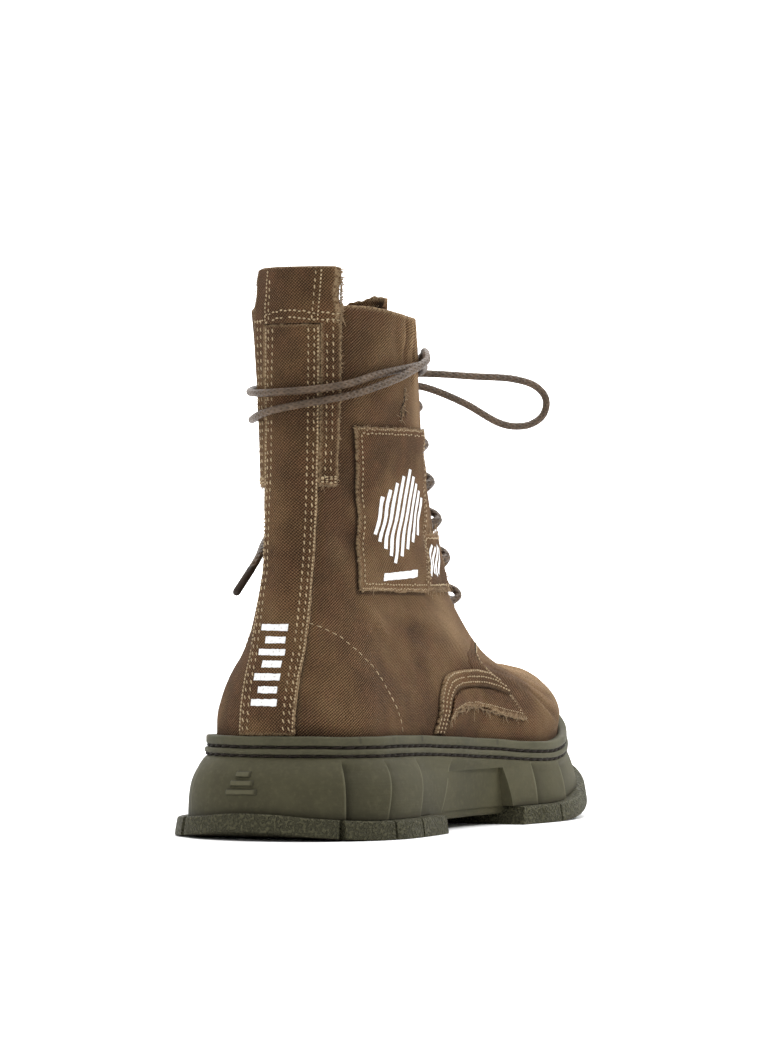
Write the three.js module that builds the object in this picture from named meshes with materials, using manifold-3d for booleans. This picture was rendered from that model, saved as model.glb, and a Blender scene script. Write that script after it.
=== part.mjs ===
// Canvas lace-up boot for the right foot, built as an assembly of closed solids.
// Millimetres. X runs from heel to toe, Y to the inner side of the foot, Z up, floor at Z = 0.

import * as THREE from 'three'
import { mergeVertices } from 'three/addons/utils/BufferGeometryUtils.js'
import Module from 'manifold-3d'

const wasm = await Module()
wasm.setup()

// Main sizes of the upper
const UPPER_LENGTH = 272
const BALL_WIDTH = 99
const HEEL_WIDTH = 75
const TOE_BOX_HEIGHT = 35
const SHAFT_RISE = 193
const CANVAS_WALL = 2.2
const PIECE_GAP = 0.3
const OVERLAY_GAP = 0.5

// Throat, tongue, eyelets and lace
const THROAT_WIDTH = 17
const THROAT_FOOT_WIDTH = 9
const THROAT_LOW = 50
const TONGUE_THICKNESS = 2
const TONGUE_ABOVE = 8.5
const TONGUE_WIDTH = 36
const TONGUE_OVERLAP = 5
const TONGUE_GAP = 0.8
const EYELET_ROWS = 8
const EYELET_LOW = 61
const EYELET_FROM_TOP = 9
const EYELET_INSET = 8
const EYELET_WIDTH = 8
const EYELET_HOLE = 4.4
const EYELET_HEIGHT = 1.1
const FRONT_SEAT = 0.8
const LACE_DIAMETER = 3.5
const KNOT_WIDTH = 12
const KNOT_HEIGHT = 10
const KNOT_DEPTH = 8
const KNOT_BELOW_COLLAR = 32

// Strips and patches sewn on the upper
const OVERLAY_THICKNESS = 1.4
const BACKSTAY_WIDTH = 27
const TAB_WIDTH = 46
const TAB_ABOVE = 18.5
const TAB_BELOW = 7.5
const TAB_INSIDE = 40
const TAB_CLOTH = 1.3
const WING_LENGTH = 73
const SIDE_PATCH_WIDTH = 64
const SIDE_PATCH_HEIGHT = 74
const SIDE_PATCH_FROM_TOP = 54
const SIDE_PATCH_FROM_BACK = 31
const SIDE_PATCH_LEAN = 9
const FACING_PATCH_CLEARANCE = 3.6
const FACING_PATCH_HEIGHT = 25
const FACING_PATCH_LOW = 66

// Main sizes of the sole
const HEEL_STACK = 46
const BALL_STACK = 38
const TOE_STACK = 59
const WELT_HEIGHT = 9.5
const WELT_OUT = 5
const TREAD_HEIGHT = 8.5
const LIP_OUT = 5.5
const SIDE_FLARE = 4.5
const HEEL_FLARE = 9
const TOE_SPRING = 20
const HEEL_BEVEL = 4
const HEEL_BREAST = 80
const HEEL_BREAST_LEAN = 9
const TREAD_SETBACK = 8
const FOREPART_START = 152
const FOREPART_LEAN = 10
const ARCH_CLEARANCE = 5
const ARCH_INSET = 7
const RECESS_HEIGHT = 27
const RECESS_DEPTH = 6
const RECESS_END = 154
const SHINGLE_STEP = 1.8
const SLOT_WIDTH = 1.6
const SLOT_DEPTH = 4.5
const NOTCH_WIDTH = 4
const INSOLE_THICKNESS = 4

// Each row is one level of the upper. toe and shaft give its height as shares of the toe box
// and of the rest of the shaft; back, front and the rounds are shares of the upper's length;
// rear and waist are shares of the heel width, fore is a share of the ball width.
const LEVELS = [
  { toe: 0.00, shaft: 0.00, back: 0.000, front: 1.000,
    rear: 0.520, waist: 0.500, fore: 0.500, heelRound: 0.130, toeRound: 0.250 },
  { toe: 0.25, shaft: 0.00, back: 0.003, front: 1.004,
    rear: 0.518, waist: 0.500, fore: 0.506, heelRound: 0.130, toeRound: 0.250 },
  { toe: 0.50, shaft: 0.00, back: 0.010, front: 0.982,
    rear: 0.498, waist: 0.490, fore: 0.482, heelRound: 0.130, toeRound: 0.260 },
  { toe: 0.72, shaft: 0.00, back: 0.018, front: 0.936,
    rear: 0.472, waist: 0.470, fore: 0.440, heelRound: 0.135, toeRound: 0.280 },
  { toe: 0.88, shaft: 0.00, back: 0.026, front: 0.874,
    rear: 0.446, waist: 0.450, fore: 0.400, heelRound: 0.140, toeRound: 0.300 },
  { toe: 1.00, shaft: 0.00, back: 0.033, front: 0.802,
    rear: 0.424, waist: 0.430, fore: 0.365, heelRound: 0.145, toeRound: 0.310 },
  { toe: 1.00, shaft: 0.04, back: 0.039, front: 0.746,
    rear: 0.405, waist: 0.415, fore: 0.334, heelRound: 0.160, toeRound: 0.320 },
  { toe: 1.00, shaft: 0.10, back: 0.047, front: 0.695,
    rear: 0.385, waist: 0.400, fore: 0.312, heelRound: 0.180, toeRound: 0.330 },
  { toe: 1.00, shaft: 0.18, back: 0.056, front: 0.647,
    rear: 0.375, waist: 0.390, fore: 0.292, heelRound: 0.210, toeRound: 0.330 },
  { toe: 1.00, shaft: 0.28, back: 0.067, front: 0.600,
    rear: 0.378, waist: 0.390, fore: 0.285, heelRound: 0.250, toeRound: 0.290 },
  { toe: 1.00, shaft: 0.42, back: 0.077, front: 0.555,
    rear: 0.392, waist: 0.395, fore: 0.295, heelRound: 0.240, toeRound: 0.250 },
  { toe: 1.00, shaft: 0.60, back: 0.085, front: 0.505,
    rear: 0.418, waist: 0.420, fore: 0.318, heelRound: 0.215, toeRound: 0.215 },
  { toe: 1.00, shaft: 0.80, back: 0.091, front: 0.455,
    rear: 0.455, waist: 0.455, fore: 0.345, heelRound: 0.185, toeRound: 0.185 },
  { toe: 1.00, shaft: 1.00, back: 0.094, front: 0.418,
    rear: 0.480, waist: 0.480, fore: 0.364, heelRound: 0.162, toeRound: 0.162 },
]

// How far the middle line of the foot lies to the inner side, as shares of the ball width,
// at places along the upper's length.
const MIDDLE = [
  { along: 0.00, inward: 0.000 },
  { along: 0.25, inward: -0.010 },
  { along: 0.45, inward: -0.045 },
  { along: 0.65, inward: -0.030 },
  { along: 0.85, inward: 0.020 },
  { along: 1.00, inward: 0.050 },
]

// Height of the welt's top edge along the upper, as shares of the three stack heights.
const FEATHER = [
  { along: 0.00, heel: 1.00, ball: 0.00, toe: 0.00 },
  { along: 0.25, heel: 0.85, ball: 0.15, toe: 0.00 },
  { along: 0.50, heel: 0.40, ball: 0.60, toe: 0.00 },
  { along: 0.72, heel: 0.00, ball: 1.00, toe: 0.00 },
  { along: 0.86, heel: 0.00, ball: 0.82, toe: 0.18 },
  { along: 0.94, heel: 0.00, ball: 0.45, toe: 0.55 },
  { along: 1.02, heel: 0.00, ball: 0.00, toe: 1.00 },
]

// Height of the underside, as shares of the heel bevel and of the toe spring.
const UNDERSIDE = [
  { along: -0.065, bevel: 1.00, spring: 0.00 },
  { along: -0.040, bevel: 0.50, spring: 0.00 },
  { along: 0.020, bevel: 0.10, spring: 0.00 },
  { along: 0.080, bevel: 0.00, spring: 0.00 },
  { along: 0.670, bevel: 0.00, spring: 0.00 },
  { along: 0.760, bevel: 0.00, spring: 0.07 },
  { along: 0.840, bevel: 0.00, spring: 0.24 },
  { along: 0.920, bevel: 0.00, spring: 0.52 },
  { along: 1.000, bevel: 0.00, spring: 0.86 },
  { along: 1.050, bevel: 0.00, spring: 1.00 },
]

// Creases of the side wall, as places around the sole: each facet ends there with a step in.
const CREASES = [
  { around: 0.067 },
  { around: 0.108 },
  { around: 0.158 },
  { around: 0.305 },
  { around: 0.354 },
  { around: 0.388 },
]
const CREASE_LEAN = 0.015
const CREASE_FADE = [
  { around: 0.067, lean: 0.0 },
  { around: 0.108, lean: 0.6 },
  { around: 0.158, lean: 1.0 },
  { around: 0.200, lean: 1.0 },
  { around: 0.270, lean: 0.0 },
]

// Slots through the lip of the tread, as places around the sole; width as a share of the notch.
const LIP_SLOTS = [
  { around: 0.062, width: 1.0 },
  { around: 0.099, width: 0.4 },
  { around: 0.130, width: 0.4 },
  { around: 0.312, width: 0.4 },
  { around: 0.361, width: 0.4 },
  { around: 0.415, width: 0.4 },
]

// Stitched band around the front of each quarter. around is a place around the upper, up a share
// of the toe box height; edge is the band's upper edge and hem its lower one.
const QUARTER_BAND = [
  { edge: 0.196, edgeUp: 0.02, hem: 0.208, hemUp: 0.02 },
  { edge: 0.201, edgeUp: 0.26, hem: 0.212, hemUp: 0.25 },
  { edge: 0.206, edgeUp: 0.50, hem: 0.218, hemUp: 0.44 },
  { edge: 0.213, edgeUp: 0.64, hem: 0.223, hemUp: 0.53 },
  { edge: 0.223, edgeUp: 0.76, hem: 0.230, hemUp: 0.60 },
  { edge: 0.237, edgeUp: 0.83, hem: 0.241, hemUp: 0.65 },
  { edge: 0.254, edgeUp: 0.87, hem: 0.254, hemUp: 0.67 },
  { edge: 0.273, edgeUp: 0.89, hem: 0.270, hemUp: 0.67 },
  { edge: 0.287, edgeUp: 0.87, hem: 0.283, hemUp: 0.63 },
  { edge: 0.293, edgeUp: 0.76, hem: 0.292, hemUp: 0.59 },
]

// Raw-edged flap under the band: its top lies just under the hem, its foot is frayed.
const QUARTER_FLAP = [
  { top: 0.218, topUp: 0.35, foot: 0.213, footUp: 0.19 },
  { top: 0.225, topUp: 0.52, foot: 0.220, footUp: 0.29 },
  { top: 0.240, topUp: 0.62, foot: 0.235, footUp: 0.39 },
  { top: 0.254, topUp: 0.65, foot: 0.250, footUp: 0.40 },
  { top: 0.269, topUp: 0.65, foot: 0.266, footUp: 0.35 },
  { top: 0.282, topUp: 0.60, foot: 0.282, footUp: 0.31 },
  { top: 0.293, topUp: 0.54, foot: 0.298, footUp: 0.29 },
]

// Lace around the shaft, from the knot by the outer side, the back and the inner side to the
// knot again. up is a share of the shaft's rise, out the distance of its middle line in mm.
const UPPER_WRAP = [
  { around: 0.463, up: 0.840, out: 6.5 },
  { around: 0.430, up: 0.853, out: 6.5 },
  { around: 0.395, up: 0.866, out: 5.2 },
  { around: 0.355, up: 0.875, out: 3.0 },
  { around: 0.290, up: 0.872, out: 2.8 },
  { around: 0.229, up: 0.861, out: 2.8 },
  { around: 0.169, up: 0.845, out: 3.0 },
  { around: 0.106, up: 0.819, out: 4.8 },
  { around: 0.044, up: 0.804, out: 4.8 },
  { around: -0.010, up: 0.799, out: 4.8 },
  { around: -0.060, up: 0.799, out: 4.8 },
  { around: -0.120, up: 0.805, out: 3.8 },
  { around: -0.200, up: 0.818, out: 2.8 },
  { around: -0.300, up: 0.834, out: 2.8 },
  { around: -0.365, up: 0.842, out: 3.8 },
  { around: -0.405, up: 0.843, out: 5.6 },
  { around: -0.435, up: 0.842, out: 6.5 },
  { around: -0.463, up: 0.840, out: 6.5 },
]
const LOWER_WRAP = [
  { around: 0.463, up: 0.862, out: 6.5 },
  { around: 0.430, up: 0.882, out: 6.5 },
  { around: 0.395, up: 0.899, out: 5.4 },
  { around: 0.355, up: 0.908, out: 3.8 },
  { around: 0.315, up: 0.900, out: 4.6 },
  { around: 0.285, up: 0.884, out: 6.6 },
  { around: 0.257, up: 0.871, out: 6.7 },
  { around: 0.229, up: 0.856, out: 6.5 },
  { around: 0.200, up: 0.839, out: 6.4 },
  { around: 0.160, up: 0.817, out: 5.4 },
  { around: 0.120, up: 0.797, out: 4.8 },
  { around: 0.075, up: 0.782, out: 4.8 },
  { around: 0.028, up: 0.769, out: 4.8 },
  { around: -0.020, up: 0.758, out: 4.8 },
  { around: -0.060, up: 0.749, out: 4.8 },
  { around: -0.120, up: 0.741, out: 3.8 },
  { around: -0.200, up: 0.752, out: 2.8 },
  { around: -0.300, up: 0.780, out: 2.8 },
  { around: -0.365, up: 0.802, out: 3.8 },
  { around: -0.405, up: 0.812, out: 5.6 },
  { around: -0.435, up: 0.817, out: 6.5 },
  { around: -0.463, up: 0.818, out: 6.5 },
]

// The bow's loop from the knot out and back, in mm from the knot; the inner loop mirrors it.
const BOW_LOOP = [
  { forward: 1.6, aside: 6.3, up: 2.3 },
  { forward: 7.0, aside: 13.0, up: 3.0 },
  { forward: 24.0, aside: 32.0, up: 2.0 },
  { forward: 39.0, aside: 46.5, up: 1.0 },
  { forward: 46.5, aside: 54.0, up: -2.0 },
  { forward: 50.0, aside: 57.5, up: -6.5 },
  { forward: 50.6, aside: 58.3, up: -11.0 },
  { forward: 49.0, aside: 56.8, up: -16.5 },
  { forward: 44.6, aside: 52.4, up: -20.5 },
  { forward: 38.8, aside: 46.6, up: -21.5 },
  { forward: 33.0, aside: 41.0, up: -19.8 },
  { forward: 20.0, aside: 28.4, up: -10.5 },
  { forward: 7.5, aside: 14.5, up: -3.6 },
  { forward: 1.6, aside: 6.5, up: -2.2 },
]

// The two loose ends, on the same terms as the wraps.
const INNER_END = [
  { around: 0.513, up: 0.808, out: 9.4 },
  { around: 0.530, up: 0.778, out: 9.2 },
  { around: 0.560, up: 0.735, out: 8.6 },
  { around: 0.600, up: 0.690, out: 7.0 },
  { around: 0.650, up: 0.635, out: 4.4 },
  { around: 0.710, up: 0.570, out: 2.6 },
  { around: 0.770, up: 0.510, out: 2.6 },
  { around: 0.830, up: 0.450, out: 2.8 },
  { around: 0.865, up: 0.412, out: 3.4 },
  { around: 0.882, up: 0.375, out: 6.0 },
  { around: 0.890, up: 0.325, out: 10.0 },
]
const FRONT_END = [
  { around: 0.487, up: 0.811, out: 9.0 },
  { around: 0.489, up: 0.765, out: 9.4 },
  { around: 0.494, up: 0.700, out: 8.8 },
  { around: 0.500, up: 0.640, out: 8.2 },
  { around: 0.505, up: 0.580, out: 7.6 },
  { around: 0.505, up: 0.530, out: 7.2 },
]

// Shape of the outline between its tables
const AROUND = 44
const REAR_END = 0.15
const WAIST_AT = 0.45
const WIDTH_BLEND = 0.3
const MIDDLE_FADE = 0.6
const FEATHER_FADE = 0.55
const ROUND_STEP = 0.002

// Smooth value of one column of a table, at a place along its key column.
function read(table, key, column, place) {
  const last = table.length - 1
  if (place <= table[0][key]) return table[0][column]
  if (place >= table[last][key]) return table[last][column]
  let i = 0
  while (table[i + 1][key] < place) i += 1
  const rise = (j) => (table[j + 1][column] - table[j][column]) / (table[j + 1][key] - table[j][key])
  const slope = (j) => {
    if (j === 0) return rise(0)
    if (j === last) return rise(last - 1)
    const before = rise(j - 1)
    const after = rise(j)
    return before * after <= 0 ? 0 : (2 * before * after) / (before + after)
  }
  const span = table[i + 1][key] - table[i][key]
  const t = (place - table[i][key]) / span
  const t2 = t * t
  const t3 = t2 * t
  return (2 * t3 - 3 * t2 + 1) * table[i][column] + (t3 - 2 * t2 + t) * span * slope(i)
    + (3 * t2 - 2 * t3) * table[i + 1][column] + (t3 - t2) * span * slope(i + 1)
}

const mix = (a, b, t) => a + (b - a) * t
const clamp = (x, low, high) => Math.min(high, Math.max(low, x))
const smooth = (x) => {
  const t = clamp(x, 0, 1)
  return t * t * (3 - 2 * t)
}

for (const row of LEVELS) {
  row.height = row.toe * TOE_BOX_HEIGHT + row.shaft * (SHAFT_RISE - TOE_BOX_HEIGHT)
}

function featherHeight(x) {
  const along = x / UPPER_LENGTH
  return read(FEATHER, 'along', 'heel', along) * HEEL_STACK
    + read(FEATHER, 'along', 'ball', along) * BALL_STACK
    + read(FEATHER, 'along', 'toe', along) * TOE_STACK
}

function undersideHeight(x) {
  const along = x / UPPER_LENGTH
  return read(UNDERSIDE, 'along', 'bevel', along) * HEEL_BEVEL
    + read(UNDERSIDE, 'along', 'spring', along) * TOE_SPRING
}

// The round of an end: from 0 at the tip to 1 where the round is over.
function endRound(distance, round) {
  const left = clamp(1 - distance / round, 0, 1)
  return Math.sqrt(1 - left * left)
}

// A point of the upper's outline seen from above, at a height over the welt's top edge.
// u runs once around: 0 at the middle of the back, a quarter on the outer side, half at the toe.
function outline(u, height) {
  const column = (name) => read(LEVELS, 'height', name, height)
  const back = column('back') * UPPER_LENGTH
  const front = column('front') * UPPER_LENGTH
  const s = (1 - Math.cos(2 * Math.PI * u)) / 2
  const x = mix(back, front, s)
  const rear = column('rear') * HEEL_WIDTH
  const waist = column('waist') * HEEL_WIDTH
  const fore = column('fore') * BALL_WIDTH
  const half = s < WAIST_AT
    ? mix(rear, waist, smooth((s - REAR_END) / WIDTH_BLEND))
    : mix(waist, fore, smooth((s - WAIST_AT) / WIDTH_BLEND))
  const ends = endRound(x - back, column('heelRound') * UPPER_LENGTH)
    * endRound(front - x, column('toeRound') * UPPER_LENGTH)
  const fade = 1 - smooth(height / (SHAFT_RISE * MIDDLE_FADE))
  const middle = read(MIDDLE, 'along', 'inward', x / UPPER_LENGTH) * BALL_WIDTH * fade
  const side = Math.sin(2 * Math.PI * u) >= 0 ? -1 : 1
  return new THREE.Vector3(x, middle + side * half * ends, 0)
}

// A point on the outer face of the upper. Heights below zero lie behind the welt.
function upperPoint(u, height) {
  const point = outline(u, Math.max(height, 0))
  const lift = 1 - smooth(height / (SHAFT_RISE * FEATHER_FADE))
  point.z = height + mix(HEEL_STACK, featherHeight(point.x), lift)
  return point
}

// The outward direction of the upper's outer face.
function upperNormal(u, height) {
  const dh = 0.5
  const alongU = upperPoint(u + ROUND_STEP, height).sub(upperPoint(u - ROUND_STEP, height))
  const top = Math.min(height + dh, SHAFT_RISE)
  const alongH = upperPoint(u, top).sub(upperPoint(u, top - 2 * dh))
  return alongU.cross(alongH).normalize()
}

// A point at a distance outside (or, below zero, inside) the upper's outer face.
function onUpper(u, height, out) {
  const normal = upperNormal(u, height)
  if (height <= 0 || height >= SHAFT_RISE) normal.setZ(0).normalize()
  return upperPoint(u, height).addScaledVector(normal, out)
}

// The place around that lies a distance from a starting place, measured along the outline.
function walk(start, height, distance) {
  const level = clamp(height, 0, SHAFT_RISE)
  const step = ROUND_STEP * Math.sign(distance)
  let u = start
  let gone = 0
  let here = outline(u, level)
  while (distance !== 0) {
    const next = outline(u + step, level)
    const length = next.distanceTo(here)
    if (gone + length >= Math.abs(distance)) return u + step * (Math.abs(distance) - gone) / length
    gone += length
    u += step
    here = next
  }
  return u
}

// The distance along the outline between two places around.
function arcBetween(from, to, height) {
  const steps = 200
  let sum = 0
  for (let k = 0; k < steps; k += 1) {
    const here = outline(mix(from, to, k / steps), height)
    sum += outline(mix(from, to, (k + 1) / steps), height).distanceTo(here)
  }
  return sum
}

// A point of the sole's plan, a distance outside the upper's feather line.
function solePlan(u, out) {
  const ahead = outline(u + ROUND_STEP, 0)
  const behind = outline(u - ROUND_STEP, 0)
  const normal = new THREE.Vector3(-(ahead.y - behind.y), ahead.x - behind.x, 0).normalize()
  return outline(u, 0).addScaledVector(normal, -out)
}

// A closed body from a grid of points that wraps around both ways.
function wrapped(columns, rows, point) {
  const positions = []
  const index = []
  for (let i = 0; i < columns; i += 1) {
    for (let j = 0; j < rows; j += 1) positions.push(...point(i, j).toArray())
  }
  const at = (i, j) => (i % columns) * rows + (j % rows)
  for (let i = 0; i < columns; i += 1) {
    for (let j = 0; j < rows; j += 1) {
      index.push(at(i, j), at(i + 1, j), at(i + 1, j + 1))
      index.push(at(i, j), at(i + 1, j + 1), at(i, j + 1))
    }
  }
  return body(positions, index)
}

// Places around: evenly spread, and with each crease of the side wall as a sharp pair.
const evenAround = Array.from({ length: AROUND }, (_, i) => i / AROUND)
const CREASE_WIDTH = 0.001
const creasedAround = [...evenAround]
for (const crease of CREASES) {
  for (const u of [crease.around, 1 - crease.around]) creasedAround.push(u - CREASE_WIDTH, u + CREASE_WIDTH)
}
creasedAround.sort((a, b) => a - b)

// A closed body from rings of points around, stacked from bottom to top. The two ends are
// closed by strips that run across from the outer to the inner side.
function stacked(around, levels, point) {
  const positions = []
  const index = []
  const count = around.length
  for (let j = 0; j < levels; j += 1) {
    for (const u of around) positions.push(...point(u, j / (levels - 1)).toArray())
  }
  const at = (i, j) => j * count + (i % count)
  for (let j = 0; j < levels - 1; j += 1) {
    for (let i = 0; i < count; i += 1) {
      index.push(at(i, j), at(i + 1, j), at(i + 1, j + 1))
      index.push(at(i, j), at(i + 1, j + 1), at(i, j + 1))
    }
  }
  const top = levels - 1
  for (let i = 0; i < count / 2; i += 1) {
    const right = count - i
    if (i < count / 2 - 1) {
      index.push(at(right - 1, 0), at(i + 1, 0), at(i, 0))
      index.push(at(i, top), at(i + 1, top), at(right - 1, top))
    }
    if (i > 0) {
      index.push(at(right, 0), at(right - 1, 0), at(i, 0))
      index.push(at(i, top), at(right - 1, top), at(right, top))
    }
  }
  return body(positions, index)
}

// A closed body from one closed profile per station, with flat ends cut like the given shape.
function swept(stations, profileAt, shape) {
  const positions = []
  const index = []
  const count = shape.length
  for (let i = 0; i < stations; i += 1) {
    for (const point of profileAt(i)) positions.push(...point.toArray())
  }
  const at = (i, j) => i * count + (j % count)
  for (let i = 0; i < stations - 1; i += 1) {
    for (let j = 0; j < count; j += 1) {
      index.push(at(i, j), at(i + 1, j), at(i + 1, j + 1))
      index.push(at(i, j), at(i + 1, j + 1), at(i, j + 1))
    }
  }
  const contour = shape.map(([x, y]) => new THREE.Vector2(x, y))
  const last = stations - 1
  for (const [a, b, c] of THREE.ShapeUtils.triangulateShape(contour, [])) {
    index.push(at(0, a), at(0, b), at(0, c))
    index.push(at(last, c), at(last, b), at(last, a))
  }
  return body(positions, index)
}

// A straight prism across the foot from corners in the X-Z plane.
function prism(corners, halfWidth) {
  const shape = new THREE.Shape(corners.map(([x, z]) => new THREE.Vector2(x, z)))
  const geometry = new THREE.ExtrudeGeometry(shape, { depth: 2 * halfWidth, bevelEnabled: false })
  geometry.rotateX(Math.PI / 2)
  geometry.translate(0, halfWidth, 0)
  return geometry
}

// A round lace along a smooth curve through points.
function tube(points, sides, steps) {
  const corner = (i) => {
    const angle = (2 * Math.PI * i) / sides
    return new THREE.Vector2(Math.cos(angle), Math.sin(angle)).multiplyScalar(LACE_DIAMETER / 2)
  }
  const shape = new THREE.Shape(Array.from({ length: sides }, (_, i) => corner(i)))
  return new THREE.ExtrudeGeometry(shape, {
    steps,
    bevelEnabled: false,
    extrudePath: new THREE.CatmullRomCurve3(points),
  })
}

// A closed body from a sheet with thickness: face gives a point and a side (1 outside, 0 inside).
function sheet(columns, rows, face) {
  const positions = []
  const index = []
  const at = (i, j, k) => (i * (rows + 1) + j) * 2 + k
  for (let i = 0; i <= columns; i += 1) {
    for (let j = 0; j <= rows; j += 1) {
      positions.push(...face(i / columns, j / rows, 1).toArray())
      positions.push(...face(i / columns, j / rows, 0).toArray())
    }
  }
  const quad = (a, b, c, d) => index.push(a, b, c, a, c, d)
  for (let i = 0; i < columns; i += 1) {
    for (let j = 0; j < rows; j += 1) {
      quad(at(i, j, 1), at(i + 1, j, 1), at(i + 1, j + 1, 1), at(i, j + 1, 1))
      quad(at(i, j, 0), at(i, j + 1, 0), at(i + 1, j + 1, 0), at(i + 1, j, 0))
    }
    quad(at(i, 0, 0), at(i + 1, 0, 0), at(i + 1, 0, 1), at(i, 0, 1))
    quad(at(i, rows, 1), at(i + 1, rows, 1), at(i + 1, rows, 0), at(i, rows, 0))
  }
  for (let j = 0; j < rows; j += 1) {
    quad(at(0, j, 1), at(0, j + 1, 1), at(0, j + 1, 0), at(0, j, 0))
    quad(at(columns, j, 0), at(columns, j + 1, 0), at(columns, j + 1, 1), at(columns, j, 1))
  }
  return body(positions, index)
}

// A geometry from points and triangles, turned so that its faces point out.
function body(positions, index) {
  const corner = (i) => new THREE.Vector3().fromArray(positions, 3 * i)
  let volume = 0
  for (let i = 0; i < index.length; i += 3) {
    volume += corner(index[i]).dot(corner(index[i + 1]).cross(corner(index[i + 2])))
  }
  if (volume < 0) index.reverse()
  const geometry = new THREE.BufferGeometry()
  geometry.setAttribute('position', new THREE.Float32BufferAttribute(positions, 3))
  geometry.setIndex(index)
  return geometry
}

function toSolid(geometry) {
  const bare = geometry.clone()
  bare.deleteAttribute('normal')
  bare.deleteAttribute('uv')
  const merged = mergeVertices(bare, 1e-4)
  const mesh = new wasm.Mesh({
    numProp: 3,
    vertProperties: new Float32Array(merged.attributes.position.array),
    triVerts: new Uint32Array(merged.index.array),
  })
  mesh.merge()
  return new wasm.Manifold(mesh)
}

function toGeometry(solid) {
  const mesh = solid.getMesh()
  const geometry = new THREE.BufferGeometry()
  geometry.setAttribute('position', new THREE.Float32BufferAttribute(mesh.vertProperties, 3))
  geometry.setIndex([...mesh.triVerts])
  return geometry
}

// Material of each kind of piece
const CANVAS = { color: 0x5a4230, roughness: 0.95, metalness: 0 }
const RUBBER = { color: 0x4d5239, roughness: 0.75, metalness: 0 }
const LACE = { color: 0x4f3b2c, roughness: 0.7, metalness: 0 }
const METAL = { color: 0x3b3026, roughness: 0.4, metalness: 0.9 }
const LINING = { color: 0x6b533d, roughness: 0.95, metalness: 0 }

const boot = new THREE.Group()

function addPiece(name, geometry, finish) {
  const mesh = new THREE.Mesh(geometry, new THREE.MeshStandardMaterial(finish))
  mesh.name = name
  boot.add(mesh)
  return mesh
}

// Upper: one hollow wall from behind the welt to the collar, with the throat cut open in front.
const UPPER_ROWS = 17
const skirtBottom = PIECE_GAP - WELT_HEIGHT
const INSTEP_SHARE = 1.55

// Heights of the upper's rows, closer together over the toe box than up the shaft.
function upperRow(j) {
  if (j === 0) return skirtBottom
  const share = (j - 1) / (UPPER_ROWS - 2)
  const instep = INSTEP_SHARE * TOE_BOX_HEIGHT
  return share < 0.5
    ? mix(0, instep, share / 0.5)
    : mix(instep, SHAFT_RISE, (share - 0.5) / 0.5)
}

const upperShell = wrapped(AROUND, 2 * UPPER_ROWS, (i, j) => {
  const u = i / AROUND
  if (j < UPPER_ROWS) return onUpper(u, upperRow(j), 0)
  return onUpper(u, upperRow(2 * UPPER_ROWS - 1 - j), -CANVAS_WALL)
})

// The throat: a long slot, rounded at its foot, cut along the front from inside the shaft.
const throatFoot = upperPoint(0.5, THROAT_LOW)
const collarFront = upperPoint(0.5, SHAFT_RISE)
const throatShape = new THREE.Shape()
throatShape.moveTo(-THROAT_FOOT_WIDTH / 4, 0)
throatShape.lineTo(THROAT_FOOT_WIDTH / 4, 0)
throatShape.lineTo(THROAT_FOOT_WIDTH / 2, THROAT_FOOT_WIDTH / 3)
throatShape.lineTo(THROAT_WIDTH / 2, collarFront.z - throatFoot.z + CANVAS_WALL)
throatShape.lineTo(-THROAT_WIDTH / 2, collarFront.z - throatFoot.z + CANVAS_WALL)
throatShape.lineTo(-THROAT_FOOT_WIDTH / 2, THROAT_FOOT_WIDTH / 3)
const throatCut = new THREE.ExtrudeGeometry(throatShape, { depth: UPPER_LENGTH, bevelEnabled: false })
throatCut.rotateX(Math.PI / 2)
throatCut.rotateZ(Math.PI / 2)
throatCut.translate((collarFront.x + upperPoint(0, SHAFT_RISE).x) / 2, throatFoot.y, throatFoot.z)
addPiece('upper', toGeometry(toSolid(upperShell).subtract(toSolid(throatCut))), CANVAS)

// Insole: fills the bottom of the upper, with a small clearance.
addPiece('insole', stacked(evenAround, 2, (u, up) => {
  const point = solePlan(u, -CANVAS_WALL - PIECE_GAP)
  point.z = featherHeight(point.x) - WELT_HEIGHT + OVERLAY_GAP + up * INSOLE_THICKNESS
  return point
}), LINING)

// Welt: a ring around the foot of the upper, on the edge of the midsole.
const WELT_PROFILE = [
  { out: 0.0, up: 0.03 },
  { out: 1.0, up: 0.03 },
  { out: 1.05, up: 0.5 },
  { out: 1.0, up: 0.93 },
  { out: 0.85, up: 1.0 },
  { out: 0.0, up: 1.0 },
]
addPiece('welt', wrapped(AROUND, WELT_PROFILE.length, (i, j) => {
  const row = WELT_PROFILE[j]
  const point = solePlan(i / AROUND, mix(PIECE_GAP, WELT_OUT, row.out))
  point.z = featherHeight(point.x) - WELT_HEIGHT * (1 - row.up)
  return point
}), RUBBER)

// How far the side wall bulges out under the welt, most around the heel.
function wallOut(x, up) {
  const alongSide = smooth((x / UPPER_LENGTH - 0.15) / 0.3)
  const bulge = mix(3.5, 1.8, alongSide)
  const flare = mix(HEEL_FLARE, SIDE_FLARE, alongSide)
  return WELT_OUT - PIECE_GAP + flare * (1 - Math.pow(up, bulge))
}

// The side wall's facets, like shingles: full out at each crease, a step in just past it.
function shingle(u) {
  const side = Math.min(u, 1 - u)
  const next = CREASES.findIndex((crease) => crease.around > side)
  if (next === 0 || next === -1) return next === 0 ? 0 : -SHINGLE_STEP
  const start = CREASES[next - 1].around
  return -SHINGLE_STEP * (1 - (side - start) / (CREASES[next].around - start))
}

// How far a place on the side wall leans back with the creases of the heel.
function creaseLean(u, up) {
  const side = Math.min(u, 1 - u)
  const share = read(CREASE_FADE, 'around', 'lean', side)
  return (u < 0.5 ? -1 : 1) * CREASE_LEAN * share * (1 - up)
}

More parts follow.
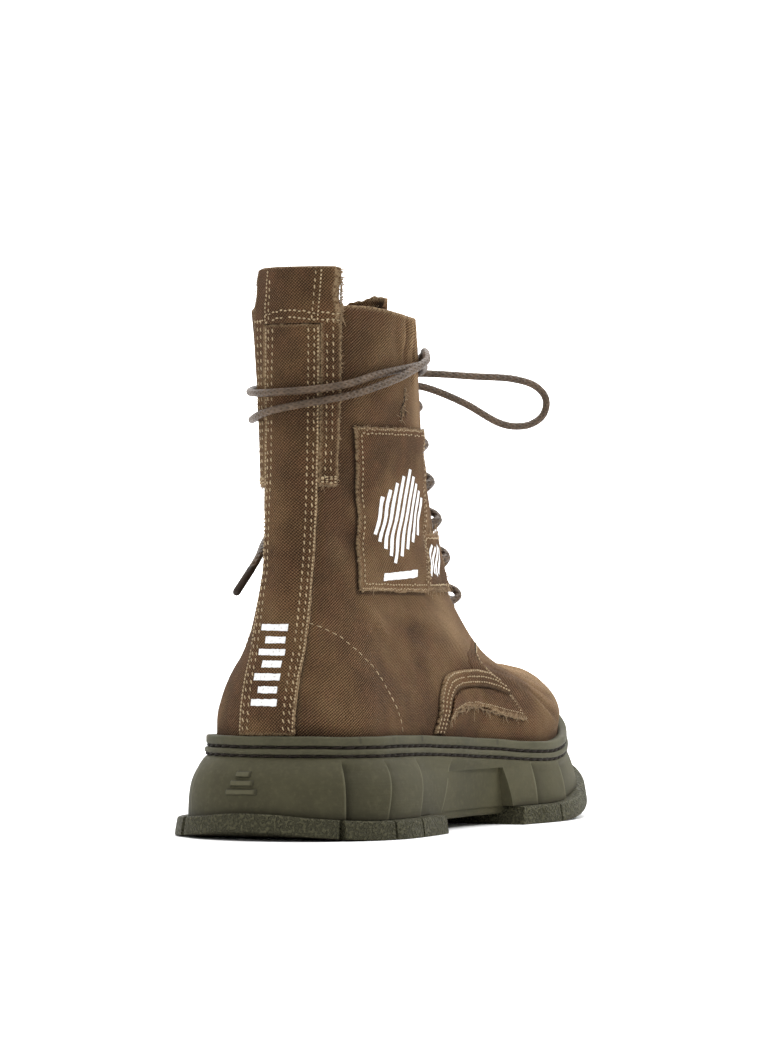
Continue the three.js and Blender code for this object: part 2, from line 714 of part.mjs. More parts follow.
const midsoleBody = stacked(creasedAround, 5, (u, up) => {
  const leaning = u + creaseLean(u, up)
  const out = wallOut(outline(u, 0).x, up) + shingle(u) * smooth((1 - up) / 0.25)
  const point = solePlan(leaning, out)
  const bottom = undersideHeight(point.x) + TREAD_HEIGHT + PIECE_GAP
  const top = featherHeight(point.x) - WELT_HEIGHT
  point.z = mix(bottom, top, up)
  return point
})

// Arch: a recess in the side wall, and a narrower block that reaches down between the treads.
const archCore = stacked(evenAround, 2, (u, up) => {
  const point = solePlan(u, wallOut(outline(u, 0).x, 0) - RECESS_DEPTH)
  point.z = up * RECESS_HEIGHT
  return point
})
const recess = prism([
  [HEEL_BREAST + HEEL_BREAST_LEAN, RECESS_HEIGHT],
  [HEEL_BREAST, 0],
  [RECESS_END + PIECE_GAP, 0],
  [RECESS_END - HEEL_BREAST_LEAN / 2, RECESS_HEIGHT],
], BALL_WIDTH)
const archBlock = stacked(evenAround, 2, (u, up) => {
  const point = solePlan(u, wallOut(outline(u, 0).x, 0) - ARCH_INSET)
  point.z = mix(ARCH_CLEARANCE, RECESS_HEIGHT - PIECE_GAP, up)
  return point
})
const archSpan = prism([
  [HEEL_BREAST + HEEL_BREAST_LEAN / 2, RECESS_HEIGHT],
  [HEEL_BREAST - TREAD_SETBACK + PIECE_GAP, 0],
  [FOREPART_START - PIECE_GAP, 0],
  [FOREPART_START + FOREPART_LEAN - PIECE_GAP, TREAD_HEIGHT],
  [FOREPART_START + FOREPART_LEAN - PIECE_GAP, RECESS_HEIGHT],
], BALL_WIDTH)
const midsole = toSolid(midsoleBody)
  .subtract(toSolid(recess).subtract(toSolid(archCore)))
  .add(toSolid(archBlock).intersect(toSolid(archSpan)))
addPiece('midsole', toGeometry(midsole), RUBBER)

// Outsole: one tread layer, cut into a heel and a forepart, with slots through its lip.
const treadLayer = stacked(evenAround, 3, (u, up) => {
  const lip = LIP_OUT * (1 - 0.25 * up)
  const point = solePlan(u, wallOut(outline(u, 0).x, 0) + lip)
  point.z = undersideHeight(point.x) + TREAD_HEIGHT * up
  return point
})
const lipSlots = LIP_SLOTS.flatMap((slot) => [slot.around, 1 - slot.around].map((u) => {
  const edge = solePlan(u, wallOut(outline(u, 0).x, 0) + LIP_OUT)
  const ahead = solePlan(u + ROUND_STEP, WELT_OUT)
  const behind = solePlan(u - ROUND_STEP, WELT_OUT)
  const wedge = new THREE.CylinderGeometry(1, 1, HEEL_STACK, 4)
  wedge.rotateX(Math.PI / 2)
  const width = slot.width < 1 ? SLOT_WIDTH : NOTCH_WIDTH
  wedge.scale(width / 2, SLOT_DEPTH, 1)
  wedge.rotateZ(Math.atan2(ahead.y - behind.y, ahead.x - behind.x))
  wedge.translate(edge.x, edge.y, 0)
  return toSolid(wedge)
}))
let tread = toSolid(treadLayer)
for (const slot of lipSlots) tread = tread.subtract(slot)
const heelPart = prism([
  [HEEL_BREAST - UPPER_LENGTH, -TREAD_HEIGHT],
  [HEEL_BREAST - TREAD_SETBACK, -TREAD_HEIGHT],
  [HEEL_BREAST - TREAD_SETBACK, 2 * TREAD_HEIGHT],
  [HEEL_BREAST - UPPER_LENGTH, 2 * TREAD_HEIGHT],
], BALL_WIDTH)
const forePart = prism([
  [FOREPART_START, 0],
  [FOREPART_START, -TREAD_HEIGHT],
  [FOREPART_START + UPPER_LENGTH, -TREAD_HEIGHT],
  [FOREPART_START + UPPER_LENGTH, TOE_STACK],
  [FOREPART_START + FOREPART_LEAN, TOE_STACK],
  [FOREPART_START + FOREPART_LEAN, TREAD_HEIGHT],
], BALL_WIDTH)
addPiece('outsole_heel', toGeometry(tread.intersect(toSolid(heelPart))), RUBBER)
addPiece('outsole_forepart', toGeometry(tread.intersect(toSolid(forePart))), RUBBER)

// Tongue: lies against the inside of the front, from under the throat to above the collar.
const TONGUE_ROWS = 12
addPiece('tongue', sheet(6, TONGUE_ROWS, (a, b, outside) => {
  const share = Math.pow(b * TONGUE_ROWS / (TONGUE_ROWS - 1), 1.5)
  const height = b < 1
    ? mix(THROAT_LOW - TONGUE_OVERLAP, SHAFT_RISE, share)
    : SHAFT_RISE + TONGUE_ABOVE
  const u = walk(0.5, height, mix(-TONGUE_WIDTH / 2, TONGUE_WIDTH / 2, a))
  const out = -CANVAS_WALL - TONGUE_GAP - (1 - outside) * TONGUE_THICKNESS
  return onUpper(u, height, out)
}), CANVAS)

// Backstay: a strip over the back seam, from the welt to the pull tab.
const tabFoot = SHAFT_RISE - TAB_BELOW
const BACKSTAY_ROWS = 14
addPiece('backstay', sheet(6, BACKSTAY_ROWS, (a, b, outside) => {
  const height = mix(PIECE_GAP, tabFoot - PIECE_GAP, b)
  const u = walk(0, height, mix(-BACKSTAY_WIDTH / 2, BACKSTAY_WIDTH / 2, a))
  return onUpper(u, height, OVERLAY_GAP + outside * OVERLAY_THICKNESS)
}), CANVAS)

// Pull tab: a wide band folded over the back of the collar. Outside, its two wings run on down
// beside the backstay.
const wingEdge = BACKSTAY_WIDTH / 2 + PIECE_GAP
const TAB_COLUMNS = [
  { across: -TAB_WIDTH / 2, wing: 1 },
  { across: -(TAB_WIDTH / 2 + wingEdge) / 2, wing: 1 },
  { across: -wingEdge - PIECE_GAP, wing: 1 },
  { across: -wingEdge, wing: 0 },
  { across: -wingEdge / 3, wing: 0 },
  { across: wingEdge / 3, wing: 0 },
  { across: wingEdge, wing: 0 },
  { across: wingEdge + PIECE_GAP, wing: 1 },
  { across: (TAB_WIDTH / 2 + wingEdge) / 2, wing: 1 },
  { across: TAB_WIDTH / 2, wing: 1 },
]
const tabOutside = OVERLAY_GAP + OVERLAY_THICKNESS
const tabInside = -CANVAS_WALL - OVERLAY_GAP
const tabTop = SHAFT_RISE + TAB_ABOVE
function tabProfile(wing) {
  const foot = tabFoot - wing * WING_LENGTH
  return [
    [OVERLAY_GAP, foot],
    [tabOutside, foot],
    [tabOutside, mix(foot, tabFoot, 0.34)],
    [tabOutside, mix(foot, tabFoot, 0.67)],
    [tabOutside, tabFoot],
    [tabOutside - 0.4, SHAFT_RISE + TAB_CLOTH],
    [-CANVAS_WALL / 2 + TAB_CLOTH, tabTop - TAB_CLOTH],
    [-CANVAS_WALL / 2, tabTop],
    [-CANVAS_WALL / 2 - TAB_CLOTH, tabTop - TAB_CLOTH],
    [tabInside - TAB_CLOTH, SHAFT_RISE],
    [tabInside - TAB_CLOTH, SHAFT_RISE - TAB_INSIDE],
    [tabInside, SHAFT_RISE - TAB_INSIDE],
    [tabInside, SHAFT_RISE + OVERLAY_GAP],
    [OVERLAY_GAP, SHAFT_RISE + OVERLAY_GAP],
    [OVERLAY_GAP, tabFoot],
    [OVERLAY_GAP, mix(foot, tabFoot, 0.67)],
    [OVERLAY_GAP, mix(foot, tabFoot, 0.34)],
  ]
}
addPiece('pull_tab', swept(TAB_COLUMNS.length, (i) => {
  const { across, wing } = TAB_COLUMNS[i]
  return tabProfile(wing).map(([out, height]) => onUpper(walk(0, height, across), height, out))
}, tabProfile(0.2)), CANVAS)

// The line of the eyelets beside the throat, at a height on the outer (-1) or inner (1) side.
function eyeletLine(height, side) {
  const up = (height - THROAT_LOW) / (SHAFT_RISE - THROAT_LOW)
  const throat = mix(THROAT_FOOT_WIDTH, THROAT_WIDTH, up)
  return walk(0.5, height, side * (throat / 2 + EYELET_INSET))
}

// Patches on the outer side: a wide one behind, a small one towards the eyelets.
function patch(name, width, height, top, start, lean, columns, rows) {
  addPiece(name, sheet(columns, rows, (a, b, outside) => {
    const up = top - height * (1 - b)
    const u = walk(0, up, start + lean * (1 - b) + width * a)
    return onUpper(u, up, OVERLAY_GAP + outside * OVERLAY_THICKNESS)
  }), CANVAS)
}
const sidePatchTop = SHAFT_RISE - SIDE_PATCH_FROM_TOP
patch('side_patch', SIDE_PATCH_WIDTH, SIDE_PATCH_HEIGHT, sidePatchTop, SIDE_PATCH_FROM_BACK,
  SIDE_PATCH_LEAN, 8, 7)
const facingPatchTop = FACING_PATCH_LOW + FACING_PATCH_HEIGHT
const besideSidePatch = SIDE_PATCH_FROM_BACK + SIDE_PATCH_WIDTH + 2 * PIECE_GAP
  + SIDE_PATCH_LEAN * (sidePatchTop - facingPatchTop) / SIDE_PATCH_HEIGHT
const facingPatchWidth = arcBetween(0, eyeletLine(facingPatchTop, -1), facingPatchTop)
  - EYELET_WIDTH / 2 - FACING_PATCH_CLEARANCE - besideSidePatch
patch('facing_patch', facingPatchWidth, FACING_PATCH_HEIGHT, facingPatchTop, besideSidePatch,
  SIDE_PATCH_LEAN * FACING_PATCH_HEIGHT / SIDE_PATCH_HEIGHT, 5, 3)

// Bands and flaps at the front of the two quarters, the inner side mirroring the outer.
const SIDES = [{ side: 'outer', turn: (u) => u }, { side: 'inner', turn: (u) => 1 - u }]
for (const { side, turn } of SIDES) {
  const along = (table, first, second, i, b) => {
    const row = table[i]
    const u = mix(row[first], row[second], b)
    const height = mix(row[first + 'Up'], row[second + 'Up'], b) * TOE_BOX_HEIGHT
    return { u: turn(u), height: Math.max(height, PIECE_GAP) }
  }
  const bandRows = QUARTER_BAND.length - 1
  addPiece('quarter_band_' + side, sheet(bandRows, 2, (a, b, outside) => {
    const { u, height } = along(QUARTER_BAND, 'hem', 'edge', Math.round(a * bandRows), b)
    return onUpper(u, height, OVERLAY_GAP + outside * OVERLAY_THICKNESS)
  }), CANVAS)
  const flapRows = QUARTER_FLAP.length - 1
  addPiece('quarter_flap_' + side, sheet(flapRows, 2, (a, b, outside) => {
    const { u, height } = along(QUARTER_FLAP, 'foot', 'top', Math.round(a * flapRows), b)
    return onUpper(u, height, OVERLAY_GAP + outside * OVERLAY_THICKNESS / 2)
  }), CANVAS)
}

// Eyelets: two rows of rings beside the throat.
const eyeletHigh = SHAFT_RISE - EYELET_FROM_TOP
const eyeletHeight = (row) => mix(EYELET_LOW, eyeletHigh, row / (EYELET_ROWS - 1))
const eyeletPlace = (row, side) => eyeletLine(eyeletHeight(row), side)
const eyeletProfile = [
  new THREE.Vector2(EYELET_HOLE / 2, 0),
  new THREE.Vector2(EYELET_WIDTH / 2, 0),
  new THREE.Vector2(EYELET_WIDTH / 2 - EYELET_HEIGHT / 3, EYELET_HEIGHT * 0.7),
  new THREE.Vector2(EYELET_HOLE / 2 + EYELET_HEIGHT / 3, EYELET_HEIGHT),
  new THREE.Vector2(EYELET_HOLE / 2, 0),
]
const upAxis = new THREE.Vector3(0, 1, 0)
for (let row = 0; row < EYELET_ROWS; row += 1) {
  for (const [side, word] of [[-1, 'outer'], [1, 'inner']]) {
    const u = eyeletPlace(row, side)
    const height = eyeletHeight(row)
    const geometry = new THREE.LatheGeometry(eyeletProfile, 8)
    const ring = addPiece('eyelet_' + word + '_' + (row + 1), geometry, METAL)
    ring.position.copy(onUpper(u, height, FRONT_SEAT))
    ring.quaternion.setFromUnitVectors(upAxis, upperNormal(u, height))
  }
}

// Lace crossings over the throat: each is two runs of lace joined where they cross.
const laceOver = FRONT_SEAT + LACE_DIAMETER / 2
const CROSSING_REACH = 0.16
function crossingRun(row, side) {
  const from = eyeletPlace(row, side)
  const to = eyeletPlace(row + 1, -side)
  const points = []
  for (let k = 0; k <= 4; k += 1) {
    const t = mix(CROSSING_REACH, 1 - CROSSING_REACH, k / 4)
    const height = mix(eyeletHeight(row), eyeletHeight(row + 1), t)
    points.push(onUpper(mix(from, to, t), height, laceOver))
  }
  return toSolid(tube(points, 6, 4))
}
for (let row = 0; row < EYELET_ROWS - 1; row += 1) {
  addPiece('lace_crossing_' + (row + 1), toGeometry(crossingRun(row, -1).add(crossingRun(row, 1))), LACE)
}

// Lace that hangs free: the knot, two wraps around the shaft, the bow's loops and the ends.
const knotHeight = SHAFT_RISE - KNOT_BELOW_COLLAR
const knotPlace = onUpper(0.5, knotHeight, laceOver + LACE_DIAMETER / 2 + PIECE_GAP + KNOT_DEPTH / 2)
const knot = addPiece('lace_knot', new THREE.SphereGeometry(1, 8, 6), LACE)
knot.scale.set(KNOT_DEPTH / 2, KNOT_WIDTH / 2, KNOT_HEIGHT / 2)
knot.position.copy(knotPlace)

function onShaft(table) {
  return table.map((row) => onUpper(row.around, row.up * SHAFT_RISE, row.out))
}
addPiece('lace_wrap_upper', tube(onShaft(UPPER_WRAP), 8, 32), LACE)
addPiece('lace_wrap_lower', tube(onShaft(LOWER_WRAP), 8, 34), LACE)
const bowLoop = (side) => BOW_LOOP.map((row) => new THREE.Vector3(
  knotPlace.x + row.forward, knotPlace.y + side * row.aside, knotPlace.z + row.up))
addPiece('lace_loop_outer', tube(bowLoop(-1), 8, 24), LACE)
addPiece('lace_loop_inner', tube(bowLoop(1), 8, 24), LACE)
addPiece('lace_end_inner', tube(onShaft(INNER_END), 8, 18), LACE)
addPiece('lace_end_front', tube(onShaft(FRONT_END), 8, 10), LACE)

// The whole boot stands with the middle of its box over the origin; the lace doesn't count.
const box = new THREE.Box3()
for (const mesh of boot.children) {
  mesh.updateMatrixWorld(true)
  if (!mesh.name.startsWith('lace_')) box.expandByObject(mesh)
}
const middle = box.getCenter(new THREE.Vector3())
boot.position.set(-middle.x, -middle.y, -box.min.z)

export default boot
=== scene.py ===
# Canvas lace-up boot for the right foot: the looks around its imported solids.
# The boot's own functions work in millimetres, X from heel to toe, Y to the inner side, Z up.
import math
import bpy
import bmesh
import numpy as np
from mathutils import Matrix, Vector


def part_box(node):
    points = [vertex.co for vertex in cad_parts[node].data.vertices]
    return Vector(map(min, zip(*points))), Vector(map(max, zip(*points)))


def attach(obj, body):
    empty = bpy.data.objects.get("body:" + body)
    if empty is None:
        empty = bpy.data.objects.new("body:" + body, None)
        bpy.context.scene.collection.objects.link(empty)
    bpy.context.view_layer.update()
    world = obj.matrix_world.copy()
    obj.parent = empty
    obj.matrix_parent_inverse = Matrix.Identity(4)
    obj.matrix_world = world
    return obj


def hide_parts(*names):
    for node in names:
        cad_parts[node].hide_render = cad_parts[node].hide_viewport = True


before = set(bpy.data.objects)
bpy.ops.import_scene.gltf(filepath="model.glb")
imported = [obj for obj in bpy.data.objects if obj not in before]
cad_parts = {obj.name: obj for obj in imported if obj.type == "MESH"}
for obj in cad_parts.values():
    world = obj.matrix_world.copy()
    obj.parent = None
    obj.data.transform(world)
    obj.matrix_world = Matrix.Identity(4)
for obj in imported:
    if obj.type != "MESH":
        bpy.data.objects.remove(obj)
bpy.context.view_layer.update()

# Main sizes of the boot, in mm
UPPER_LENGTH, BALL_WIDTH, HEEL_WIDTH = 272, 99, 75
TOE_BOX_HEIGHT, SHAFT_RISE, CANVAS_WALL = 35, 193, 2.2
THROAT_WIDTH, THROAT_FOOT_WIDTH, THROAT_LOW = 17, 9, 50
TONGUE_ABOVE, TONGUE_WIDTH = 8.5, 36
EYELET_ROWS, EYELET_LOW, EYELET_FROM_TOP = 8, 61, 9
EYELET_INSET, EYELET_WIDTH, EYELET_HOLE = 8, 8, 4.4
LACE_DIAMETER, FRONT_SEAT = 3.5, 0.8
KNOT_DEPTH, KNOT_BELOW_COLLAR = 8, 32
BACKSTAY_WIDTH, TAB_WIDTH, TAB_ABOVE, TAB_BELOW, TAB_INSIDE = 27, 46, 18.5, 7.5, 40
WING_LENGTH, TAB_OUTSIDE = 73, 1.9
HEEL_STACK, BALL_STACK, TOE_STACK = 46, 38, 59
WELT_HEIGHT, WELT_OUT, TREAD_HEIGHT, LIP_OUT = 9.5, 5, 8.5, 5.5
SIDE_FLARE, HEEL_FLARE, TOE_SPRING, HEEL_BEVEL = 4.5, 9, 20, 4
HEEL_BREAST, HEEL_BREAST_LEAN, TREAD_SETBACK = 80, 9, 8
FOREPART_START, FOREPART_LEAN = 152, 10
ARCH_CLEARANCE, ARCH_INSET, RECESS_HEIGHT, RECESS_DEPTH, RECESS_END = 5, 7, 27, 6, 154
SHINGLE_STEP, PIECE_GAP = 1.8, 0.3
TAB_FOOT, TAB_TOP = SHAFT_RISE - TAB_BELOW, SHAFT_RISE + TAB_ABOVE
WING_FOOT = TAB_FOOT - WING_LENGTH

# Patches: arc of the rear edge at the top, width, foot, height, lean at the foot
SIDE_PATCH = (31, 64, SHAFT_RISE - 54 - 74, 74, 9)
FACING_PATCH = (98.5, 38.5, 66, 25, 3)

# The two sides of the boot, by arc from the back and by place around
SIDES = (("outer", 1), ("inner", -1))
MIRRORS = (("outer", lambda u: u), ("inner", lambda u: 1 - u))


def columns(names, rows):
    data = np.array(rows, float)
    return {name: data[:, i] for i, name in enumerate(names.split())}


LEVELS = columns("toe shaft back front rear waist fore heel_round toe_round", [
    (0.00, 0.00, 0.000, 1.000, 0.520, 0.500, 0.500, 0.130, 0.250),
    (0.25, 0.00, 0.003, 1.004, 0.518, 0.500, 0.506, 0.130, 0.250),
    (0.50, 0.00, 0.010, 0.982, 0.498, 0.490, 0.482, 0.130, 0.260),
    (0.72, 0.00, 0.018, 0.936, 0.472, 0.470, 0.440, 0.135, 0.280),
    (0.88, 0.00, 0.026, 0.874, 0.446, 0.450, 0.400, 0.140, 0.300),
    (1.00, 0.00, 0.033, 0.802, 0.424, 0.430, 0.365, 0.145, 0.310),
    (1.00, 0.04, 0.039, 0.746, 0.405, 0.415, 0.334, 0.160, 0.320),
    (1.00, 0.10, 0.047, 0.695, 0.385, 0.400, 0.312, 0.180, 0.330),
    (1.00, 0.18, 0.056, 0.647, 0.375, 0.390, 0.292, 0.210, 0.330),
    (1.00, 0.28, 0.067, 0.600, 0.378, 0.390, 0.285, 0.250, 0.290),
    (1.00, 0.42, 0.077, 0.555, 0.392, 0.395, 0.295, 0.240, 0.250),
    (1.00, 0.60, 0.085, 0.505, 0.418, 0.420, 0.318, 0.215, 0.215),
    (1.00, 0.80, 0.091, 0.455, 0.455, 0.455, 0.345, 0.185, 0.185),
    (1.00, 1.00, 0.094, 0.418, 0.480, 0.480, 0.364, 0.162, 0.162),
])
LEVELS["height"] = LEVELS["toe"] * TOE_BOX_HEIGHT + LEVELS["shaft"] * (SHAFT_RISE - TOE_BOX_HEIGHT)
MIDDLE = columns("along inward", [
    (0.00, 0.000), (0.25, -0.010), (0.45, -0.045), (0.65, -0.030), (0.85, 0.020), (1.00, 0.050),
])
FEATHER = columns("along heel ball toe", [
    (0.00, 1.00, 0.00, 0.00), (0.25, 0.85, 0.15, 0.00), (0.50, 0.40, 0.60, 0.00),
    (0.72, 0.00, 1.00, 0.00), (0.86, 0.00, 0.82, 0.18), (0.94, 0.00, 0.45, 0.55),
    (1.02, 0.00, 0.00, 1.00),
])
UNDERSIDE = columns("along bevel spring", [
    (-0.065, 1.00, 0.00), (-0.040, 0.50, 0.00), (0.020, 0.10, 0.00), (0.080, 0.00, 0.00),
    (0.670, 0.00, 0.00), (0.760, 0.00, 0.07), (0.840, 0.00, 0.24), (0.920, 0.00, 0.52),
    (1.000, 0.00, 0.86), (1.050, 0.00, 1.00),
])
CREASES = np.array([0.067, 0.108, 0.158, 0.296, 0.332, 0.372])
CREASE_LEAN, CREASE_CUT, BLOCK_EDGE = 0.015, 0.9, 0.209
CREASE_FADE = columns("around lean", [
    (0.067, 0.0), (0.108, 0.6), (0.158, 1.0), (0.209, 1.4), (0.270, 0.0),
])
LIP_SLOTS = [(0.062, 4.0), (0.099, 1.6), (0.130, 1.6), (0.312, 1.6), (0.361, 1.6), (0.415, 1.6)]
QUARTER_BAND = columns("edge edge_up hem hem_up", [
    (0.196, 0.02, 0.208, 0.02), (0.201, 0.26, 0.212, 0.25), (0.206, 0.50, 0.218, 0.44),
    (0.213, 0.64, 0.223, 0.53), (0.223, 0.76, 0.230, 0.60), (0.237, 0.83, 0.241, 0.65),
    (0.254, 0.87, 0.254, 0.67), (0.273, 0.89, 0.270, 0.67), (0.287, 0.87, 0.283, 0.63),
    (0.293, 0.76, 0.292, 0.59),
])
QUARTER_FLAP = columns("top top_up foot foot_up", [
    (0.218, 0.35, 0.213, 0.19), (0.225, 0.52, 0.220, 0.29), (0.240, 0.62, 0.235, 0.39),
    (0.254, 0.65, 0.250, 0.40), (0.269, 0.65, 0.266, 0.35), (0.282, 0.60, 0.282, 0.31),
    (0.293, 0.54, 0.298, 0.29),
])

# Lace routes on the shaft: place around, share of the shaft's rise, mm out from the canvas
UPPER_WRAP = [
    (0.463, 0.840, 6.5), (0.430, 0.853, 6.5), (0.395, 0.866, 5.2), (0.355, 0.875, 3.0),
    (0.290, 0.872, 2.8), (0.229, 0.861, 2.8), (0.169, 0.845, 3.0), (0.106, 0.819, 4.8),
    (0.044, 0.804, 4.8), (-0.010, 0.799, 4.8), (-0.060, 0.799, 4.8), (-0.120, 0.805, 3.8),
    (-0.200, 0.818, 2.8), (-0.300, 0.834, 2.8), (-0.365, 0.842, 3.8), (-0.405, 0.843, 5.6),
    (-0.435, 0.842, 6.5), (-0.463, 0.840, 6.5),
]
LOWER_WRAP = [
    (0.463, 0.862, 6.5), (0.430, 0.882, 6.5), (0.395, 0.899, 5.4), (0.355, 0.908, 3.8),
    (0.315, 0.900, 4.6), (0.285, 0.884, 6.6), (0.257, 0.871, 6.7), (0.229, 0.856, 6.5),
    (0.200, 0.839, 6.4), (0.160, 0.817, 5.4), (0.120, 0.797, 4.8), (0.075, 0.782, 4.8),
    (0.028, 0.769, 4.8), (-0.020, 0.758, 4.8), (-0.060, 0.749, 4.8), (-0.120, 0.741, 3.8),
    (-0.200, 0.752, 2.8), (-0.300, 0.780, 2.8), (-0.365, 0.802, 3.8), (-0.405, 0.812, 5.6),
    (-0.435, 0.817, 6.5), (-0.463, 0.818, 6.5),
]
BOW_LOOP = [
    (1.6, 6.3, 2.3), (7.0, 13.0, 3.0), (24.0, 32.0, 2.0), (39.0, 46.5, 1.0), (46.5, 54.0, -2.0),
    (50.0, 57.5, -6.5), (50.6, 58.3, -11.0), (49.0, 56.8, -16.5), (44.6, 52.4, -20.5),
    (38.8, 46.6, -21.5), (33.0, 41.0, -19.8), (20.0, 28.4, -10.5), (7.5, 14.5, -3.6),
    (1.6, 6.5, -2.2),
]
INNER_END = [
    (0.513, 0.808, 9.4), (0.530, 0.778, 9.2), (0.560, 0.735, 8.6), (0.600, 0.690, 7.0),
    (0.650, 0.635, 4.4), (0.710, 0.570, 2.6), (0.770, 0.510, 2.6), (0.830, 0.450, 2.8),
    (0.865, 0.412, 3.4), (0.882, 0.375, 6.0), (0.890, 0.325, 10.0),
]
FRONT_END = [
    (0.487, 0.811, 9.0), (0.489, 0.765, 9.4), (0.494, 0.700, 8.8), (0.500, 0.640, 8.2),
    (0.505, 0.580, 7.6), (0.505, 0.530, 7.2),
]


# Shape functions, all on numpy arrays
def read(table, key, column, place):
    """Smooth value of a table's column at places along its key column."""
    k, v = table[key], table[column]
    x = np.clip(np.asarray(place, float), k[0], k[-1])
    rise = (v[1:] - v[:-1]) / (k[1:] - k[:-1])
    slope = np.zeros(len(k))
    slope[0], slope[-1] = rise[0], rise[-1]
    same = rise[:-1] * rise[1:] > 0
    total = np.where(same, rise[:-1] + rise[1:], 1.0)
    slope[1:-1] = np.where(same, 2 * rise[:-1] * rise[1:] / total, 0.0)
    i = np.clip(np.searchsorted(k, x, side="left") - 1, 0, len(k) - 2)
    span = k[i + 1] - k[i]
    t = (x - k[i]) / span
    t2, t3 = t * t, t * t * t
    return ((2 * t3 - 3 * t2 + 1) * v[i] + (t3 - 2 * t2 + t) * span * slope[i]
            + (3 * t2 - 2 * t3) * v[i + 1] + (t3 - t2) * span * slope[i + 1])


def mix(a, b, t):
    return a + (b - a) * t


def smooth(x):
    t = np.clip(x, 0, 1)
    return t * t * (3 - 2 * t)


def feather_height(x):
    along = x / UPPER_LENGTH
    return (read(FEATHER, "along", "heel", along) * HEEL_STACK
            + read(FEATHER, "along", "ball", along) * BALL_STACK
            + read(FEATHER, "along", "toe", along) * TOE_STACK)


def underside_height(x):
    along = x / UPPER_LENGTH
    return (read(UNDERSIDE, "along", "bevel", along) * HEEL_BEVEL
            + read(UNDERSIDE, "along", "spring", along) * TOE_SPRING)


def end_round(distance, length):
    left = np.clip(1 - distance / length, 0, 1)
    return np.sqrt(np.maximum(1 - left * left, 0))


def outline(u, height):
    """x and y of the upper's outline from above. u: 0 back, a quarter outer side, half front."""
    u, height = np.broadcast_arrays(np.asarray(u, float), np.asarray(height, float))

    def column(name):
        return read(LEVELS, "height", name, height)

    back, front = column("back") * UPPER_LENGTH, column("front") * UPPER_LENGTH
    s = (1 - np.cos(2 * np.pi * u)) / 2
    x = mix(back, front, s)
    rear, waist = column("rear") * HEEL_WIDTH, column("waist") * HEEL_WIDTH
    fore = column("fore") * BALL_WIDTH
    half = np.where(s < 0.45, mix(rear, waist, smooth((s - 0.15) / 0.3)),
                    mix(waist, fore, smooth((s - 0.45) / 0.3)))
    ends = (end_round(x - back, column("heel_round") * UPPER_LENGTH)
            * end_round(front - x, column("toe_round") * UPPER_LENGTH))
    fade = 1 - smooth(height / (SHAFT_RISE * 0.6))
    middle = read(MIDDLE, "along", "inward", x / UPPER_LENGTH) * BALL_WIDTH * fade
    side = np.where(np.sin(2 * np.pi * u) >= 0, -1.0, 1.0)
    return x, middle + side * half * ends


def upper_point(u, height):
    x, y = outline(u, np.maximum(height, 0))
    lift = 1 - smooth(np.asarray(height) / (SHAFT_RISE * 0.55))
    z = height + mix(HEEL_STACK, feather_height(x), lift)
    return np.stack([x, y, z], -1)


def unit(v):
    return v / np.maximum(np.linalg.norm(v, axis=-1, keepdims=True), 1e-9)


def upper_normal(u, height):
    u, height = np.broadcast_arrays(np.asarray(u, float), np.asarray(height, float))
    along_u = upper_point(u + 0.002, height) - upper_point(u - 0.002, height)
    top = np.minimum(height + 0.5, SHAFT_RISE)
    along_h = upper_point(u, top) - upper_point(u, top - 1.0)
    n = unit(np.cross(along_u, along_h))
    flat = n.copy()
    flat[..., 2] = 0
    flat = unit(flat)
    t = np.maximum(smooth((height - SHAFT_RISE + 3) / 3), smooth(-(height - 1) / 1))[..., None]
    return unit(mix(n, flat, t))


US = np.linspace(-0.75, 0.75, 1801)
arc_tables = {}


def arc_table(height):
    key = round(float(min(max(height, 0), SHAFT_RISE)) * 4) / 4
    if key not in arc_tables:
        x, y = outline(US, np.full(US.shape, key))
        run = np.concatenate([[0], np.cumsum(np.hypot(np.diff(x), np.diff(y)))])
        arc_tables[key] = run - np.interp(0, US, run)
    return arc_tables[key]


def by_level(height, value, lookup):
    """Look values up in the table of arcs of each height."""
    height, value = np.broadcast_arrays(np.asarray(height, float), np.asarray(value, float))
    out = np.empty(height.shape)
    keys = np.round(np.clip(height, 0, SHAFT_RISE) * 4) / 4
    for key in np.unique(keys):
        here = keys == key
        out[here] = lookup(value[here], arc_table(key))
    return out


def u_at(height, arc):
    """Place around at an arc distance in mm from the back."""
    return by_level(height, arc, lambda arcs, table: np.interp(arcs, table, US))


def arc_at(height, u):
    return by_level(height, u, lambda places, table: np.interp(places, US, table))


def throat_half(height):
    grow = (height - THROAT_LOW) / (SHAFT_RISE - THROAT_LOW)
    open_by = np.sqrt(np.clip((height - THROAT_LOW) / 5.0, 0, 1))
    return open_by * mix(THROAT_FOOT_WIDTH, THROAT_WIDTH, np.clip(grow, 0, 1)) / 2


